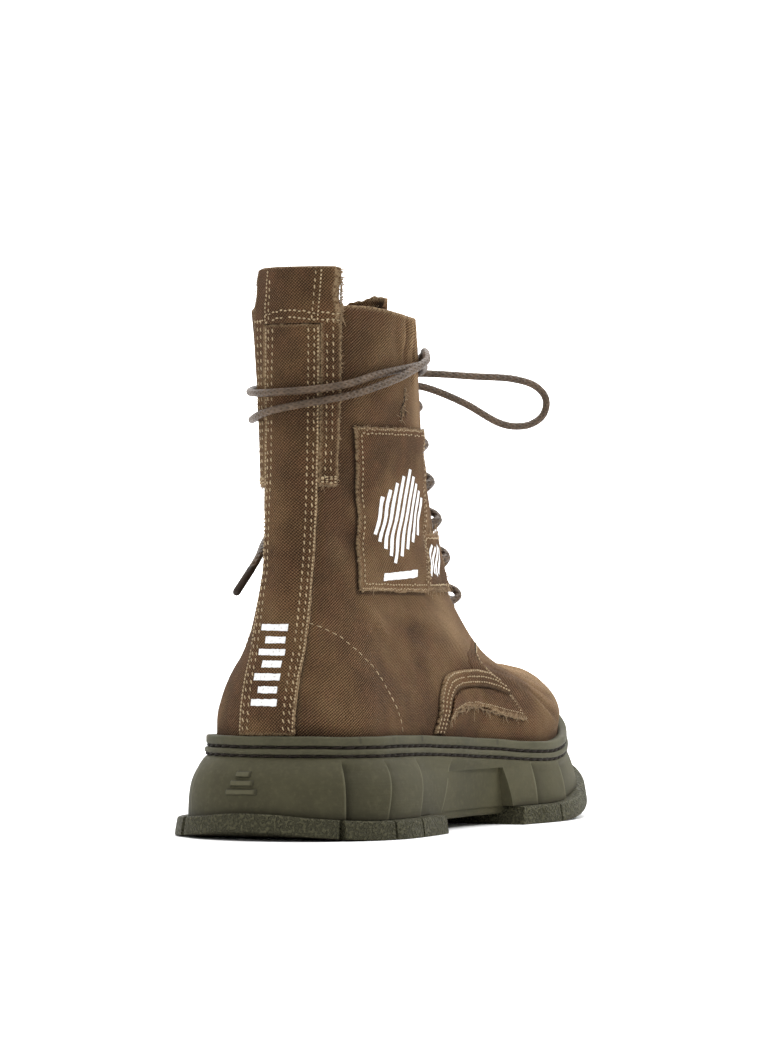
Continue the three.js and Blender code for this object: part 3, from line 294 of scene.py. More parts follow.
# Folds of the canvas: (u, height) from, to, width mm, depth mm (a ridge is negative)
FOLDS = [
    (0.266, 193, 0.250, 170, 1.9, 1.3), (0.300, 193, 0.280, 160, 1.9, 1.6),
    (0.330, 193, 0.312, 168, 1.9, 1.3), (0.222, 192, 0.226, 172, 3.0, 0.6),
    (0.283, 193, 0.270, 178, 1.6, 1.0),
    (0.110, 96, 0.150, 84, 5.0, 1.1), (0.150, 84, 0.225, 92, 5.0, 0.9),
    (0.130, 112, 0.190, 104, 5.0, 0.8), (0.165, 70, 0.262, 60, 6.0, 1.0),
    (0.190, 52, 0.270, 44, 5.0, 0.9), (0.150, 58, 0.182, 44, 4.0, -0.8),
    (0.300, 58, 0.250, 72, 5.0, 0.9), (0.330, 74, 0.275, 96, 4.5, 0.9),
    (0.352, 104, 0.300, 112, 4.0, 0.7), (0.345, 132, 0.300, 126, 4.0, 0.6),
    (0.060, 150, 0.120, 138, 5.0, 0.5), (0.080, 120, 0.110, 128, 5.0, 0.5),
    (-0.110, 96, -0.160, 84, 5.0, 1.1), (-0.160, 84, -0.235, 92, 5.0, 0.9),
    (-0.140, 112, -0.205, 102, 5.0, 0.8), (-0.170, 70, -0.262, 60, 6.0, 1.0),
    (-0.200, 52, -0.270, 44, 5.0, 0.8), (-0.300, 58, -0.250, 72, 5.0, 0.9),
    (-0.330, 74, -0.275, 96, 4.5, 0.9), (-0.345, 132, -0.300, 124, 4.0, 0.7),
    (-0.262, 192, -0.252, 170, 2.6, 0.7), (-0.310, 193, -0.290, 160, 2.6, 0.8),
    (0.322, 24, 0.352, 8, 2.4, 1.1), (0.340, 30, 0.375, 14, 2.6, 0.9),
    (0.310, 33, 0.330, 30, 3.0, 0.8), (0.362, 33, 0.402, 22, 3.0, 0.8),
    (0.420, 33, 0.460, 26, 3.0, 0.9), (-0.322, 24, -0.352, 8, 2.4, 1.0),
    (-0.340, 30, -0.375, 14, 2.6, 0.9), (-0.420, 33, -0.460, 26, 3.0, 0.8),
    (0.252, 8, 0.262, 22, 3.0, 0.5), (0.180, 20, 0.210, 34, 4.5, 0.5),
    (0.020, 78, 0.060, 72, 6.0, 0.6), (-0.020, 78, -0.060, 70, 6.0, 0.6),
]
FOLDS = [(a if a >= 0 else 1 + a, b, c if c >= 0 else 1 + c, d, w, e) for a, b, c, d, w, e in FOLDS]
QUARTER_EDGE = np.array([
    (0.299, 9.6), (0.2955, 17.0), (0.293, 24.0), (0.296, 31.5), (0.322, 38.5), (0.372, 44.5),
    (0.430, 47.0), (0.500, 48.0),
])


def folds(u, height):
    """mm that the canvas stands out (above zero) or in, at each place."""
    u, height = np.broadcast_arrays(np.asarray(u, float) % 1.0, np.asarray(height, float))
    out = np.zeros(u.shape)
    for u0, h0, u1, h1, width, depth in FOLDS:
        middle_u, middle_h = (u0 + u1) / 2, (h0 + h1) / 2
        near = ((np.abs(height - middle_h) < abs(h1 - h0) / 2 + 4 * width)
                & (np.abs(u - middle_u) < abs(u1 - u0) / 2 + 0.06))
        if not near.any():
            continue
        pair = upper_point(np.array([middle_u - 0.004, middle_u + 0.004]), np.full(2, middle_h))
        scale = np.linalg.norm(pair[1] - pair[0]) / 0.008
        ax, ay = (u[near] - u0) * scale, height[near] - h0
        bx, by = (u1 - u0) * scale, h1 - h0
        length = math.hypot(bx, by)
        along = (ax * bx + ay * by) / length
        t = np.clip(along / length, 0, 1)
        past = np.maximum(np.maximum(-along, along - length), 0)
        off = (ax * by - ay * bx) / length + 0.8 * np.sin(along / (1.6 * width) + u0 * 40)
        taper = np.exp(-(past / (1.6 * width)) ** 2) * (0.45 + 0.55 * np.sin(math.pi * t))
        d = off / width
        wave = np.exp(-d * d) - 0.38 * np.exp(-(d - 1.7) ** 2) - 0.30 * np.exp(-(d + 1.8) ** 2)
        out[near] -= depth * wave * taper
    a = 2 * math.pi * u
    out += 0.28 * np.sin(5 * a + 0.045 * height) * np.sin(0.071 * height + 2 * np.sin(2 * a))
    out += 0.16 * np.sin(11 * a + 1.3 - 0.08 * height) * np.sin(0.13 * height + 3 * np.sin(a + 1))
    fade = smooth(height / 8) * smooth((SHAFT_RISE + 4 - height) / 8 + 0.35)
    return out * fade


def quarter_edge(height):
    """Place around of the quarters' front edge at a height."""
    return np.interp(height, QUARTER_EDGE[:, 1], QUARTER_EDGE[:, 0])


def collar_drop(u, height):
    """mm by which the collar sags towards the front."""
    side = np.minimum(u % 1.0, 1 - u % 1.0)
    return 3.3 * smooth((side - 0.13) / 0.17) * smooth((height - 158) / 35)


def skin(u, height, out=0.0, plain=False):
    """A point outside the canvas by out mm, folds included."""
    u, height = np.broadcast_arrays(np.asarray(u, float), np.asarray(height, float))
    bump = 0 if plain else folds(u, height)
    if not plain:
        height = height - collar_drop(u, height)
    return upper_point(u, height) + upper_normal(u, height) * np.asarray(out + bump)[..., None]


def sole_plan(u, out):
    u, out = np.broadcast_arrays(np.asarray(u, float), np.asarray(out, float))
    ax, ay = outline(u + 0.002, 0.0)
    bx, by = outline(u - 0.002, 0.0)
    n = unit(np.stack([-(ay - by), ax - bx], -1))
    x, y = outline(u, 0.0)
    return np.stack([x - n[..., 0] * out, y - n[..., 1] * out], -1)


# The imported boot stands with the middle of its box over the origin: find the shift from a node
footbed = sole_plan(np.arange(44) / 44, np.full(44, -CANVAS_WALL - PIECE_GAP))
low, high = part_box("insole")
SHIFT = np.array([
    (low.x + high.x) * 500 - (footbed[:, 0].min() + footbed[:, 0].max()) / 2,
    (low.y + high.y) * 500 - (footbed[:, 1].min() + footbed[:, 1].max()) / 2,
    0.0,
])


def placed(points):
    """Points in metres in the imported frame, from millimetres in the boot's own."""
    return (np.asarray(points, float) + SHIFT) / 1000


# Camera, floor and light
def board(name, corners, colour):
    """A plain stage plane; returns the inputs of its surface."""
    mesh = bpy.data.meshes.new(name)
    mesh.from_pydata([tuple(corner) for corner in corners], [], [(0, 1, 2, 3)])
    paint = bpy.data.materials.new(name + "_paint")
    paint.use_nodes = True
    mesh.materials.append(paint)
    plane = bpy.data.objects.new(name, mesh)
    bpy.context.collection.objects.link(plane)
    surface = paint.node_tree.nodes["Principled BSDF"].inputs
    surface["Base Color"].default_value = (colour, colour, colour, 1)
    return surface


def softbox(name, place, target, size, watts):
    light = bpy.data.lights.new(name, "AREA")
    light.shape = "RECTANGLE"
    light.size, light.size_y = size
    light.energy = watts
    lamp = bpy.data.objects.new(name, light)
    lamp.location = place
    way = Vector(target) - Vector(place)
    lamp.rotation_euler = way.to_track_quat("-Z", "Y").to_euler()
    bpy.context.collection.objects.link(lamp)


def stage_scene():
    theta = math.radians(25)
    along = Vector((math.cos(theta), math.sin(theta), 0))
    camera = bpy.data.objects.new("view", bpy.data.cameras.new("view"))
    bpy.context.collection.objects.link(camera)
    back, eye, focal = 2.150, 0.1215, 4545.0
    camera.location = -along * back + Vector((0, 0, eye))
    camera.rotation_euler = along.to_track_quat("-Z", "Y").to_euler()
    lens = camera.data
    lens.sensor_fit = "VERTICAL"
    lens.sensor_height = 36
    lens.lens = focal * 36 / 1038
    lens.shift_x = -(394 - 389.5) / 1038
    lens.shift_y = (567 - 519) / 1038
    lens.clip_start = 0.05
    bpy.context.scene.camera = camera

    r = 14.0
    floor = board("floor", [(-r, -r, 0), (r, -r, 0), (r, r, 0), (-r, r, 0)], 0.93)
    floor["Roughness"].default_value = 0.9
    floor["Specular IOR Level"].default_value = 0.1
    away, across = along * 2.6, along.cross(Vector((0, 0, 1))) * 5.0
    high = Vector((0, 0, 4))
    corners = [away - across, away + across, away + across + high, away - across + high]
    wall = board("backdrop", corners, 0.9)
    wall["Emission Color"].default_value = (1, 1, 1, 1)
    wall["Emission Strength"].default_value = 1.0

    world = bpy.data.worlds.new("studio")
    world.use_nodes = True
    world.node_tree.nodes["Background"].inputs["Color"].default_value = (1, 1, 1, 1)
    world.node_tree.nodes["Background"].inputs["Strength"].default_value = 0.42
    bpy.context.scene.world = world
    softbox("key", (0.9, -1.7, 1.7), (0, 0, 0.10), (1.1, 0.9), 34)
    softbox("top", (-0.5, 0.2, 2.4), (0, 0, 0.10), (1.6, 1.6), 26)
    softbox("side", (-1.2, 1.8, 1.0), (0, 0, 0.12), (1.0, 1.2), 9)
    softbox("floor", (1.0, 0.4, 2.2), (1.1, 0.5, 0.0), (2.0, 2.4), 70)
    view = bpy.context.scene.view_settings
    view.view_transform = "Standard"
    view.look = "None"


stage_scene()


# Meshes
def make(name, points, faces, material, uv=None, values=None):
    """A mesh object that rides on the boot. faces: an (n, 3) or (n, 4) array, or a list."""
    mesh = bpy.data.meshes.new(name)
    verts = placed(np.asarray(points, float).reshape(-1, 3))
    if isinstance(faces, np.ndarray):
        k, sides = faces.shape
        mesh.vertices.add(len(verts))
        mesh.vertices.foreach_set("co", verts.ravel())
        mesh.loops.add(k * sides)
        mesh.loops.foreach_set("vertex_index", faces.ravel().astype(np.int32))
        mesh.polygons.add(k)
        mesh.polygons.foreach_set("loop_start", np.arange(0, k * sides, sides, dtype=np.int32))
        mesh.update(calc_edges=True)
    else:
        mesh.from_pydata([tuple(v) for v in verts], [], [tuple(f) for f in faces])
        mesh.update()
    if uv is not None:
        layer = mesh.uv_layers.new(name="cloth")
        index = np.empty(len(mesh.loops), np.int32)
        mesh.loops.foreach_get("vertex_index", index)
        layer.data.foreach_set("uv", np.asarray(uv, float).reshape(-1, 2)[index].ravel())
    for key, value in (values or {}).items():
        attribute = mesh.attributes.new(key, "FLOAT", "POINT")
        attribute.data.foreach_set("value", np.asarray(value, float).ravel())
    mesh.polygons.foreach_set("use_smooth", np.full(len(mesh.polygons), True))
    mesh.materials.append(material)
    piece = bpy.data.objects.new(name, mesh)
    bpy.context.collection.objects.link(piece)
    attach(piece, "root")
    return piece


def grid_faces(n, m, start=0, loop_i=False, loop_j=False, flip=False):
    i = np.arange(n if loop_i else n - 1)
    j = np.arange(m if loop_j else m - 1)
    i, j = np.meshgrid(i, j, indexing="ij")
    i2, j2 = (i + 1) % n, (j + 1) % m
    quad = np.stack([i * m + j, i2 * m + j, i2 * m + j2, i * m + j2], -1).reshape(-1, 4)
    return (quad[:, ::-1] if flip else quad) + start


def sheet_faces(n, m):
    """Faces of a sheet with an outer and an inner layer of n by m points, and its rim."""
    outer = grid_faces(n, m)
    inner = grid_faces(n, m, start=n * m, flip=True)
    k = n * m
    rim = []
    i = np.arange(n - 1)
    rim.append(np.stack([i * m, i * m + k, (i + 1) * m + k, (i + 1) * m], -1))
    e = i * m + m - 1
    rim.append(np.stack([e, e + m, e + m + k, e + k], -1))
    j = np.arange(m - 1)
    rim.append(np.stack([j, j + 1, j + 1 + k, j + k], -1))
    e = (n - 1) * m + j
    rim.append(np.stack([e, e + k, e + 1 + k, e + 1], -1))
    return np.concatenate([outer, inner] + rim)


def edit(piece, change):
    """Change a piece's mesh through bmesh."""
    bm = bmesh.new()
    bm.from_mesh(piece.data)
    change(bm)
    bm.to_mesh(piece.data)
    bm.free()


def weld(piece, distance):
    edit(piece, lambda bm: bmesh.ops.remove_doubles(bm, verts=bm.verts, dist=distance))


def outward(piece):
    edit(piece, lambda bm: bmesh.ops.recalc_face_normals(bm, faces=bm.faces))


def cloth_uv(arc, height):
    return np.stack([arc, height], -1) / 1000


def sheet(name, outer, inner, material, uv, values):
    """A closed sheet between an outer and an inner grid of points."""
    points = np.concatenate([outer.reshape(-1, 3), inner.reshape(-1, 3)])
    both = np.concatenate([uv.reshape(-1, 2)] * 2)
    extra = {key: np.concatenate([value.ravel()] * 2) for key, value in values.items()}
    piece = make(name, points, sheet_faces(*uv.shape[:2]), material, both, extra)
    outward(piece)
    return piece


def cloth_sheet(name, u, height, low, high, material, uv, values):
    """A piece of cloth on the canvas: u and height are (n, m) grids, low and high mm out."""
    top = np.full(u.shape, high - 0.45)
    top[1:-1, 1:-1] = high
    return sheet(name, skin(u, height, top), skin(u, height, low), material, uv, values)


# Materials
class Net:
    """A new material, and a small helper that adds shader nodes to it and links them."""

    def __init__(self, name, rough, shine):
        self.material = bpy.data.materials.new(name)
        self.material.use_nodes = True
        self.tree = self.material.node_tree
        self.surface = self.tree.nodes["Principled BSDF"].inputs
        self.surface["Roughness"].default_value = rough
        self.surface["Specular IOR Level"].default_value = shine

    def add(self, kind, **settings):
        node = self.tree.nodes.new(kind)
        for key, value in settings.items():
            setattr(node, key, value)
        return node

    def link(self, out, into):
        self.tree.links.new(out, into)

    def place(self):
        return self.add("ShaderNodeTexCoord").outputs["Object"]

    def cloth(self):
        return self.add("ShaderNodeUVMap", uv_map="cloth").outputs["UV"]

    def painted(self, name):
        """A value that make() laid on the mesh."""
        return self.add("ShaderNodeAttribute", attribute_name=name).outputs["Fac"]

    def math(self, operation, a, b=None):
        node = self.add("ShaderNodeMath", operation=operation)
        for socket, value in zip(node.inputs, (a, b)):
            if value is None:
                continue
            if isinstance(value, (int, float)):
                socket.default_value = value
            else:
                self.link(value, socket)
        return node.outputs[0]

    def plus(self, a, b):
        return self.math("ADD", a, b)

    def times(self, a, b):
        return self.math("MULTIPLY", a, b)

    def dot(self, vector, x, y):
        node = self.add("ShaderNodeVectorMath", operation="DOT_PRODUCT")
        self.link(vector, node.inputs[0])
        node.inputs[1].default_value = (x, y, 0)
        return node.outputs["Value"]

    def noise(self, vector, scale, detail=2.0, rough=0.5):
        node = self.add("ShaderNodeTexNoise")
        self.link(vector, node.inputs["Vector"])
        node.inputs["Scale"].default_value = scale
        node.inputs["Detail"].default_value = detail
        node.inputs["Roughness"].default_value = rough
        return node.outputs["Fac"]

    def mix(self, factor, a, b):
        node = self.add("ShaderNodeMix", data_type="RGBA")
        self.link(factor, node.inputs["Factor"])
        for index, value in ((6, a), (7, b)):
            if isinstance(value, tuple):
                node.inputs[index].default_value = (*value, 1)
            else:
                self.link(value, node.inputs[index])
        return node.outputs[2]

    def scaled(self, colour, light):
        node = self.add("ShaderNodeVectorMath", operation="SCALE")
        self.link(colour, node.inputs[0])
        self.link(light, node.inputs["Scale"])
        return node.outputs[0]

    def ramp(self, value, low, high):
        node = self.add("ShaderNodeMapRange", interpolation_type="SMOOTHSTEP")
        self.link(value, node.inputs["Value"])
        node.inputs["From Min"].default_value = low
        node.inputs["From Max"].default_value = high
        return node.outputs["Result"]

    def bump(self, height, distance, strength=1.0, under=None):
        node = self.add("ShaderNodeBump")
        node.inputs["Strength"].default_value = strength
        node.inputs["Distance"].default_value = distance
        self.link(height, node.inputs["Height"])
        if under is not None:
            self.link(under, node.inputs["Normal"])
        return node.outputs["Normal"]

    def finish(self, colour, normal=None):
        self.link(colour, self.surface["Base Color"])
        if normal is not None:
            self.link(normal, self.surface["Normal"])
        return self.material


def shade(colour, share):
    return tuple(share * part for part in colour)


CANVAS_BASE = (0.112, 0.064, 0.030)
CANVAS_DARK = (0.064, 0.035, 0.018)
CANVAS_PALE = (0.205, 0.132, 0.070)
CANVAS_RED = (0.124, 0.060, 0.031)
TWILL_PITCH, YARN_PITCH = 0.00108, 0.00098
BRAID_PITCH, BRAID_STRANDS = 0.0034, 5


def canvas(name, angle, base=CANVAS_BASE, fade=1.0, cross=0.42, flat=False):
    """Twill canvas: ribs at an angle to the cloth's own directions, yarns, rubbed places, paler places
    that are partly a painted highlight, and painted shade.
    """
    net = Net(name, 0.95, 0.05)
    place = net.place()
    uv = place if flat else net.cloth()
    wobble = net.times(net.noise(uv, 700, 1.0), 1.9)
    x, y = math.cos(math.radians(angle)), math.sin(math.radians(angle))

    def waves(a, b, pitch):
        turn = 2 * math.pi / pitch
        return net.math("SINE", net.plus(net.dot(uv, a * turn, b * turn), wobble))

    ribs = net.times(waves(-y, x, TWILL_PITCH), 0.96 - cross)
    weave = net.plus(ribs, net.times(waves(x, y, YARN_PITCH), cross))
    slub = net.noise(uv, 1500, 2.0)
    uneven = net.math("SUBTRACT", slub, 0.5)
    wide = net.noise(place, 26, 3.0, 0.55)
    middle = net.noise(place, 90, 3.0, 0.6)
    colour = net.mix(net.ramp(wide, 0.40, 0.62), CANVAS_DARK if fade > 0.9 else base, base)
    colour = net.mix(net.times(net.ramp(middle, 0.35, 0.75), 0.55), colour, CANVAS_RED)
    colour = net.mix(net.times(net.ramp(wide, 0.52, 0.80), 0.40 * fade), colour, CANVAS_PALE)
    # paler by the mesh's value: partly bleached cloth, partly a painted highlight
    colour = net.mix(net.times(net.painted("faded_and_highlight"), 0.85), colour, shade(CANVAS_PALE, 1.42))
    light = net.plus(net.plus(net.times(weave, 0.70), net.times(uneven, 1.2)), 1.0)
    speck = net.times(net.ramp(net.plus(weave, uneven), 0.35, 1.0), 0.42)
    colour = net.mix(speck, net.scaled(colour, light), (0.30, 0.205, 0.115))
    # rubbed places and painted highlights from the mesh, then painted shade from the mesh
    pale_amount = net.times(net.painted("wear_and_highlight"), net.ramp(net.noise(uv, 700, 3.0), 0.30, 0.62))
    colour = net.mix(pale_amount, colour, (0.35, 0.25, 0.145))
    colour = net.mix(net.painted("painted_shade"), colour, (0.030, 0.018, 0.011))
    net.surface["Sheen Weight"].default_value = 0.02
    net.surface["Sheen Roughness"].default_value = 0.5
    height = net.plus(weave, net.times(slub, 1.2))
    return net.finish(colour, net.bump(height, 0.00030, 0.9, net.bump(middle, 0.0006, 0.5)))


def rubber(name, base=(0.070, 0.064, 0.0355), stipple=False):
    """Matt olive rubber with fine grain, cloudy tone, painted highlights and painted shade from the
    mesh's values and, on the tread's lip, a coarse stipple with painted shade in its hollows.
    """
    net = Net(name, 0.68, 0.12)
    place = net.place()
    cloud = net.noise(place, 22, 4.0, 0.6)
    speck = net.noise(place, 420, 3.0, 0.6)
    pale = (base[0] * 1.28, base[1] * 1.24, base[2] * 1.26)
    colour = net.mix(net.ramp(cloud, 0.35, 0.70), shade(base, 0.72), base)
    colour = net.mix(net.times(net.ramp(speck, 0.45, 0.75), 0.35), colour, pale)
    # pale mix: painted highlights (and rubbed places) from the mesh; dark mix: painted shade
    colour = net.mix(net.painted("wear_and_highlight"), colour, (0.175, 0.165, 0.105))
    colour = net.mix(net.painted("painted_shade"), colour, (0.032, 0.030, 0.019))
    fine = net.bump(net.noise(place, 1100, 2.0), 0.00012, 0.35)
    brushed = net.add("ShaderNodeVectorMath", operation="MULTIPLY")
    net.link(place, brushed.inputs[0])
    brushed.inputs[1].default_value = (0.05, 0.05, 1.0)
    fine = net.bump(net.noise(brushed.outputs["Vector"], 900, 2.0), 0.00018, 0.5, fine)
    normal = net.bump(cloud, 0.0008, 0.25, fine)
    if stipple:
        islands = net.ramp(net.noise(place, 760, 1.5), 0.40, 0.58)
        normal = net.bump(islands, 0.0011, 1.0, normal)
        # painted shade: the stipple is darker between its raised islands
        colour = net.mix(net.times(islands, 0.8), shade(base, 0.55), colour)
    return net.finish(colour, normal)


def thread(name, base, rough=0.6, scale=2600):
    net = Net(name, rough, 0.2)
    place = net.place()
    grain = net.noise(place, scale, 2.0)
    patchy = net.noise(place, 120, 2.0)
    colour = net.mix(net.ramp(grain, 0.30, 0.72), shade(base, 0.55), base)
    colour = net.mix(net.times(net.ramp(patchy, 0.42, 0.70), 0.55), colour, shade(base, 0.50))
    return net.finish(colour, net.bump(grain, 0.0001, 0.5))


def lace_material(base):
    """Round waxed braid: crossing diagonal strands by the lace's own around and along."""
    net = Net("lace_braid", 0.50, 0.28)
    uv = net.cloth()
    turn = 2 * math.pi * BRAID_STRANDS
    along = 2 * math.pi / BRAID_PITCH
    one = net.math("SINE", net.dot(uv, turn, along))
    other = net.math("SINE", net.dot(uv, turn, -along))
    braid = net.math("MAXIMUM", one, other)
    cloud = net.noise(net.place(), 150, 3.0)
    colour = net.mix(net.ramp(cloud, 0.35, 0.70), shade(base, 0.66), base)
    tone = net.plus(net.times(braid, 0.26), 0.90)
    return net.finish(net.scaled(colour, tone), net.bump(braid, 0.00022, 0.8))


def metal_material():
    net = Net("dark_metal", 0.42, 0.5)
    cloud = net.noise(net.place(), 500, 3.0)
    net.surface["Metallic"].default_value = 0.9
    return net.finish(net.mix(net.ramp(cloud, 0.4, 0.7), (0.05, 0.036, 0.026), (0.16, 0.12, 0.08)))


def paint_material():
    net = Net("white_print", 0.6, 0.5)
    pale_amount = net.noise(net.place(), 900, 3.0)
    colour = net.mix(net.ramp(pale_amount, 0.30, 0.42), (0.55, 0.53, 0.50), (0.86, 0.86, 0.86))
    return net.finish(colour, net.bump(pale_amount, 0.0001, 0.4))


CANVAS = canvas("canvas_twill", 42, cross=0.26)
CANVAS_STRAP = canvas("canvas_strap", 50)
CANVAS_PATCH = canvas("canvas_patch", -50, base=(0.128, 0.076, 0.038))
CANVAS_LINING = canvas("canvas_lining", 45, base=(0.19, 0.13, 0.08), fade=0.5)
INSOLE_CLOTH = canvas("insole_cloth", 45, base=(0.19, 0.13, 0.08), fade=0.5, flat=True)
RUBBER_SIDE = rubber("rubber_side")
RUBBER_WELT = rubber("rubber_welt", base=(0.076, 0.071, 0.042))
RUBBER_TREAD = rubber("rubber_tread", base=(0.086, 0.081, 0.046), stipple=True)
SEAM_THREAD = thread("seam_thread", (0.57, 0.43, 0.26))
SEAM_SHADE = thread("seam_holes", (0.030, 0.017, 0.009))
FRAY_THREAD = thread("fray_thread", (0.38, 0.265, 0.155))
FRAY_DARK = thread("fray_dark", (0.12, 0.075, 0.045))
WELT_THREAD = thread("welt_thread", (0.018, 0.012, 0.008), 0.8, 900)
LACE = lace_material((0.108, 0.071, 0.044))
LACE_TIP = thread("lace_tip", (0.055, 0.038, 0.028), 0.35)
METAL = metal_material()
PRINT = paint_material()


# Upper
def patch_distance(arcs, h):
    """mm from the foot and the rear edge of the leaning side patch."""
    start, width, low, tall, lean = SIDE_PATCH
    rear = start + lean * (1 - (h - low) / tall)
    beside = np.where((h > low - 1) & (h < low + tall), np.abs(arcs - rear + 0.6), np.inf)
    under = np.where((arcs > rear - 1) & (arcs < rear + width), np.abs(h - low + 0.9), np.inf)
    return np.minimum(beside, under)


def upper_piece():
    heights = np.concatenate([np.array([-9.2, -4.5, -1.0]), np.linspace(0, SHAFT_RISE, 204)])
    outs = np.zeros(len(heights))
    heights = np.concatenate([heights, [193.5, 193.7, 193.5, 192.0, 186.0]])
    outs = np.concatenate([outs, [-0.35, -1.1, -1.9, -2.15, -2.2]])
    half = throat_half(np.minimum(heights, SHAFT_RISE))
    front = arc_at(heights, 0.5)
    back = arc_at(heights, -0.5)
    t = np.linspace(0, 1, 388)[:, None]
    arcs = mix(back + half, front - half, t)
    rim = np.array([(-8.0, -2.2), (-2.0, -2.15), (-0.1, -1.9), (0.35, -1.1), (0.15, -0.35)])
    opened = np.clip((heights - THROAT_LOW) / 3, 0, 1)
    more = rim[:, :1] * opened
    left = back + half - more
    right = (front - half + more)[::-1]
    rim_out = np.minimum(rim[:, 1:] * opened, outs)
    outs = np.concatenate([rim_out, np.broadcast_to(outs, arcs.shape), rim_out[::-1]])
    arcs = np.concatenate([left, arcs, right])
    h = np.broadcast_to(heights, arcs.shape)
    u = u_at(h, arcs)
    points = skin(u, h, outs)
    seam = np.minimum(np.abs(np.abs(arcs) - 13.4), 9)
    wear_and_highlight = 0.35 * np.exp(-(seam / 1.2) ** 2) * (h > 3) + 0.8 * smooth((h - 191.6) / 1.4)
    side = np.minimum(u % 1.0, 1 - u % 1.0)
    # paler toe and front edge of the shaft: partly bleached cloth, partly a painted highlight; the fold
    # ridges get a painted highlight
    faded_and_highlight = 0.75 * smooth((side - 0.305) / 0.12) * (1 - smooth((h - 34) / 20))
    faded_and_highlight = faded_and_highlight + 0.70 * np.exp(-((side - 0.305) / 0.035) ** 2) * smooth((h - 30) / 20)
    fold = folds(u, h)
    collar = smooth((h - 158) / 14) * smooth((side - 0.22) / 0.03)
    faded_and_highlight = faded_and_highlight + (0.34 + 1.3 * collar) * np.clip(fold - 0.08, 0, 0.9)
    # painted shade: darker where the canvas meets the welt, in the valleys of the folds and over the
    # middle of the shaft
    painted_shade = 0.30 * smooth(1 - h / 5.0)
    painted_shade = np.maximum(painted_shade, 0.34 * np.clip(-fold - 0.15, 0, 1.1))
    painted_shade = painted_shade + 0.15 * smooth((h - 55) / 30) * (1 - smooth((side - 0.20) / 0.05))
    # painted shadow along the edges of the side patch and along the edges of the strips laid over the
    # canvas
    painted_shade = np.maximum(painted_shade, 0.75 * np.exp(-(patch_distance(arcs, h) / 0.9) ** 2))
    beside = np.where(h > WING_FOOT, np.abs(np.abs(arcs) - 23.3), np.abs(np.abs(arcs) - 13.9))
    painted_shade = np.maximum(painted_shade, 0.6 * np.exp(-(beside / 0.8) ** 2) * (h < 192))
    values = {"wear_and_highlight": np.clip(wear_and_highlight, 0, 1), "painted_shade": painted_shade, "faded_and_highlight": np.clip(faded_and_highlight, 0, 1)}
    piece = make("upper_canvas", points, grid_faces(*arcs.shape), CANVAS, cloth_uv(arcs, h), values)
    weld(piece, 2e-5)
    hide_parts("upper")


def lining_piece():
    heights = np.linspace(-9.2, 190, 90)
    half = throat_half(heights) + 6 * np.clip((heights - THROAT_LOW) / 3, 0, 1)
    t = np.linspace(0, 1, 170)[:, None]
    arcs = mix(arc_at(heights, -0.5) + half, arc_at(heights, 0.5) - half, t)
    h = np.broadcast_to(heights, arcs.shape)
    u = u_at(h, arcs)
    piece = make("upper_lining", skin(u, h, -CANVAS_WALL), grid_faces(*arcs.shape, flip=True),
                 CANVAS_LINING, cloth_uv(arcs, h))
    weld(piece, 2e-5)


def tongue_piece():
    n, m = 26, 110
    top = SHAFT_RISE + TONGUE_ABOVE
    a = np.linspace(-1, 1, n)[:, None]
    h = np.tile(np.linspace(THROAT_LOW - 5, top - 0.6, m), (n, 1))
    high = smooth((h - 178) / 24)
    h += (0.35 * np.sin(a * 9 + 1) + 0.3 * np.sin(a * 23)) * smooth((h - top + 6) / 5)
    h += high * (0.9 - 3.2 * smooth(a / 1.1))
    turned = high * np.clip((-a - 0.42) / 0.58, 0, 1)
    h -= 8.0 * turned ** 0.7
    arc = arc_at(h, 0.5) + a * (TONGUE_WIDTH / 2 - 1.2 * smooth((h - top + 14) / 12)) - 3.5 * high
    arc += 6.0 * turned ** 2
    u = u_at(h, arc)
    ripple = 0.5 * np.sin(h / 7.0 + 2 * a) * smooth((h - 60) / 20) * (np.abs(a) < 0.95)
    curl = 7.0 * turned ** 0.8 + 1.5 * high * smooth((a - 0.4) / 0.6)
    middle = -CANVAS_WALL - 1.9 + 0.35 * ripple - curl
    outer = skin(u, h, middle + 1.0, plain=True)
    inner = skin(u, h, middle - 0.9, plain=True)
    wear_and_highlight = np.clip(smooth((h - top + 2.2) / 1.5) + smooth((np.abs(a) - 0.9) / 0.1) * 0.7, 0, 1)
    # painted shade inside the hollow at the tongue's turned-over top
    dark = 0.95 * np.exp(-((a + 0.20) / 0.24) ** 2) * smooth((h - top + 13) / 5) * (wear_and_highlight < 0.3)
    values = {"wear_and_highlight": wear_and_highlight, "painted_shade": dark}
    piece = sheet("tongue_canvas", outer, inner, CANVAS_STRAP, cloth_uv(arc, h), values)
    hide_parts("tongue")


# Strips and patches
def jitter(count, size, seed, knots=60):
    """A rough line: small and larger unevenness along an edge."""
    r = np.random.default_rng(seed)
    t = np.linspace(0, 1, count)
    fine = np.interp(t, np.linspace(0, 1, knots), r.normal(0, 1, knots))
    rough = np.interp(t, np.linspace(0, 1, max(6, knots // 6)), r.normal(0, 1, max(6, knots // 6)))
    return size * (0.6 * fine + 0.6 * rough)


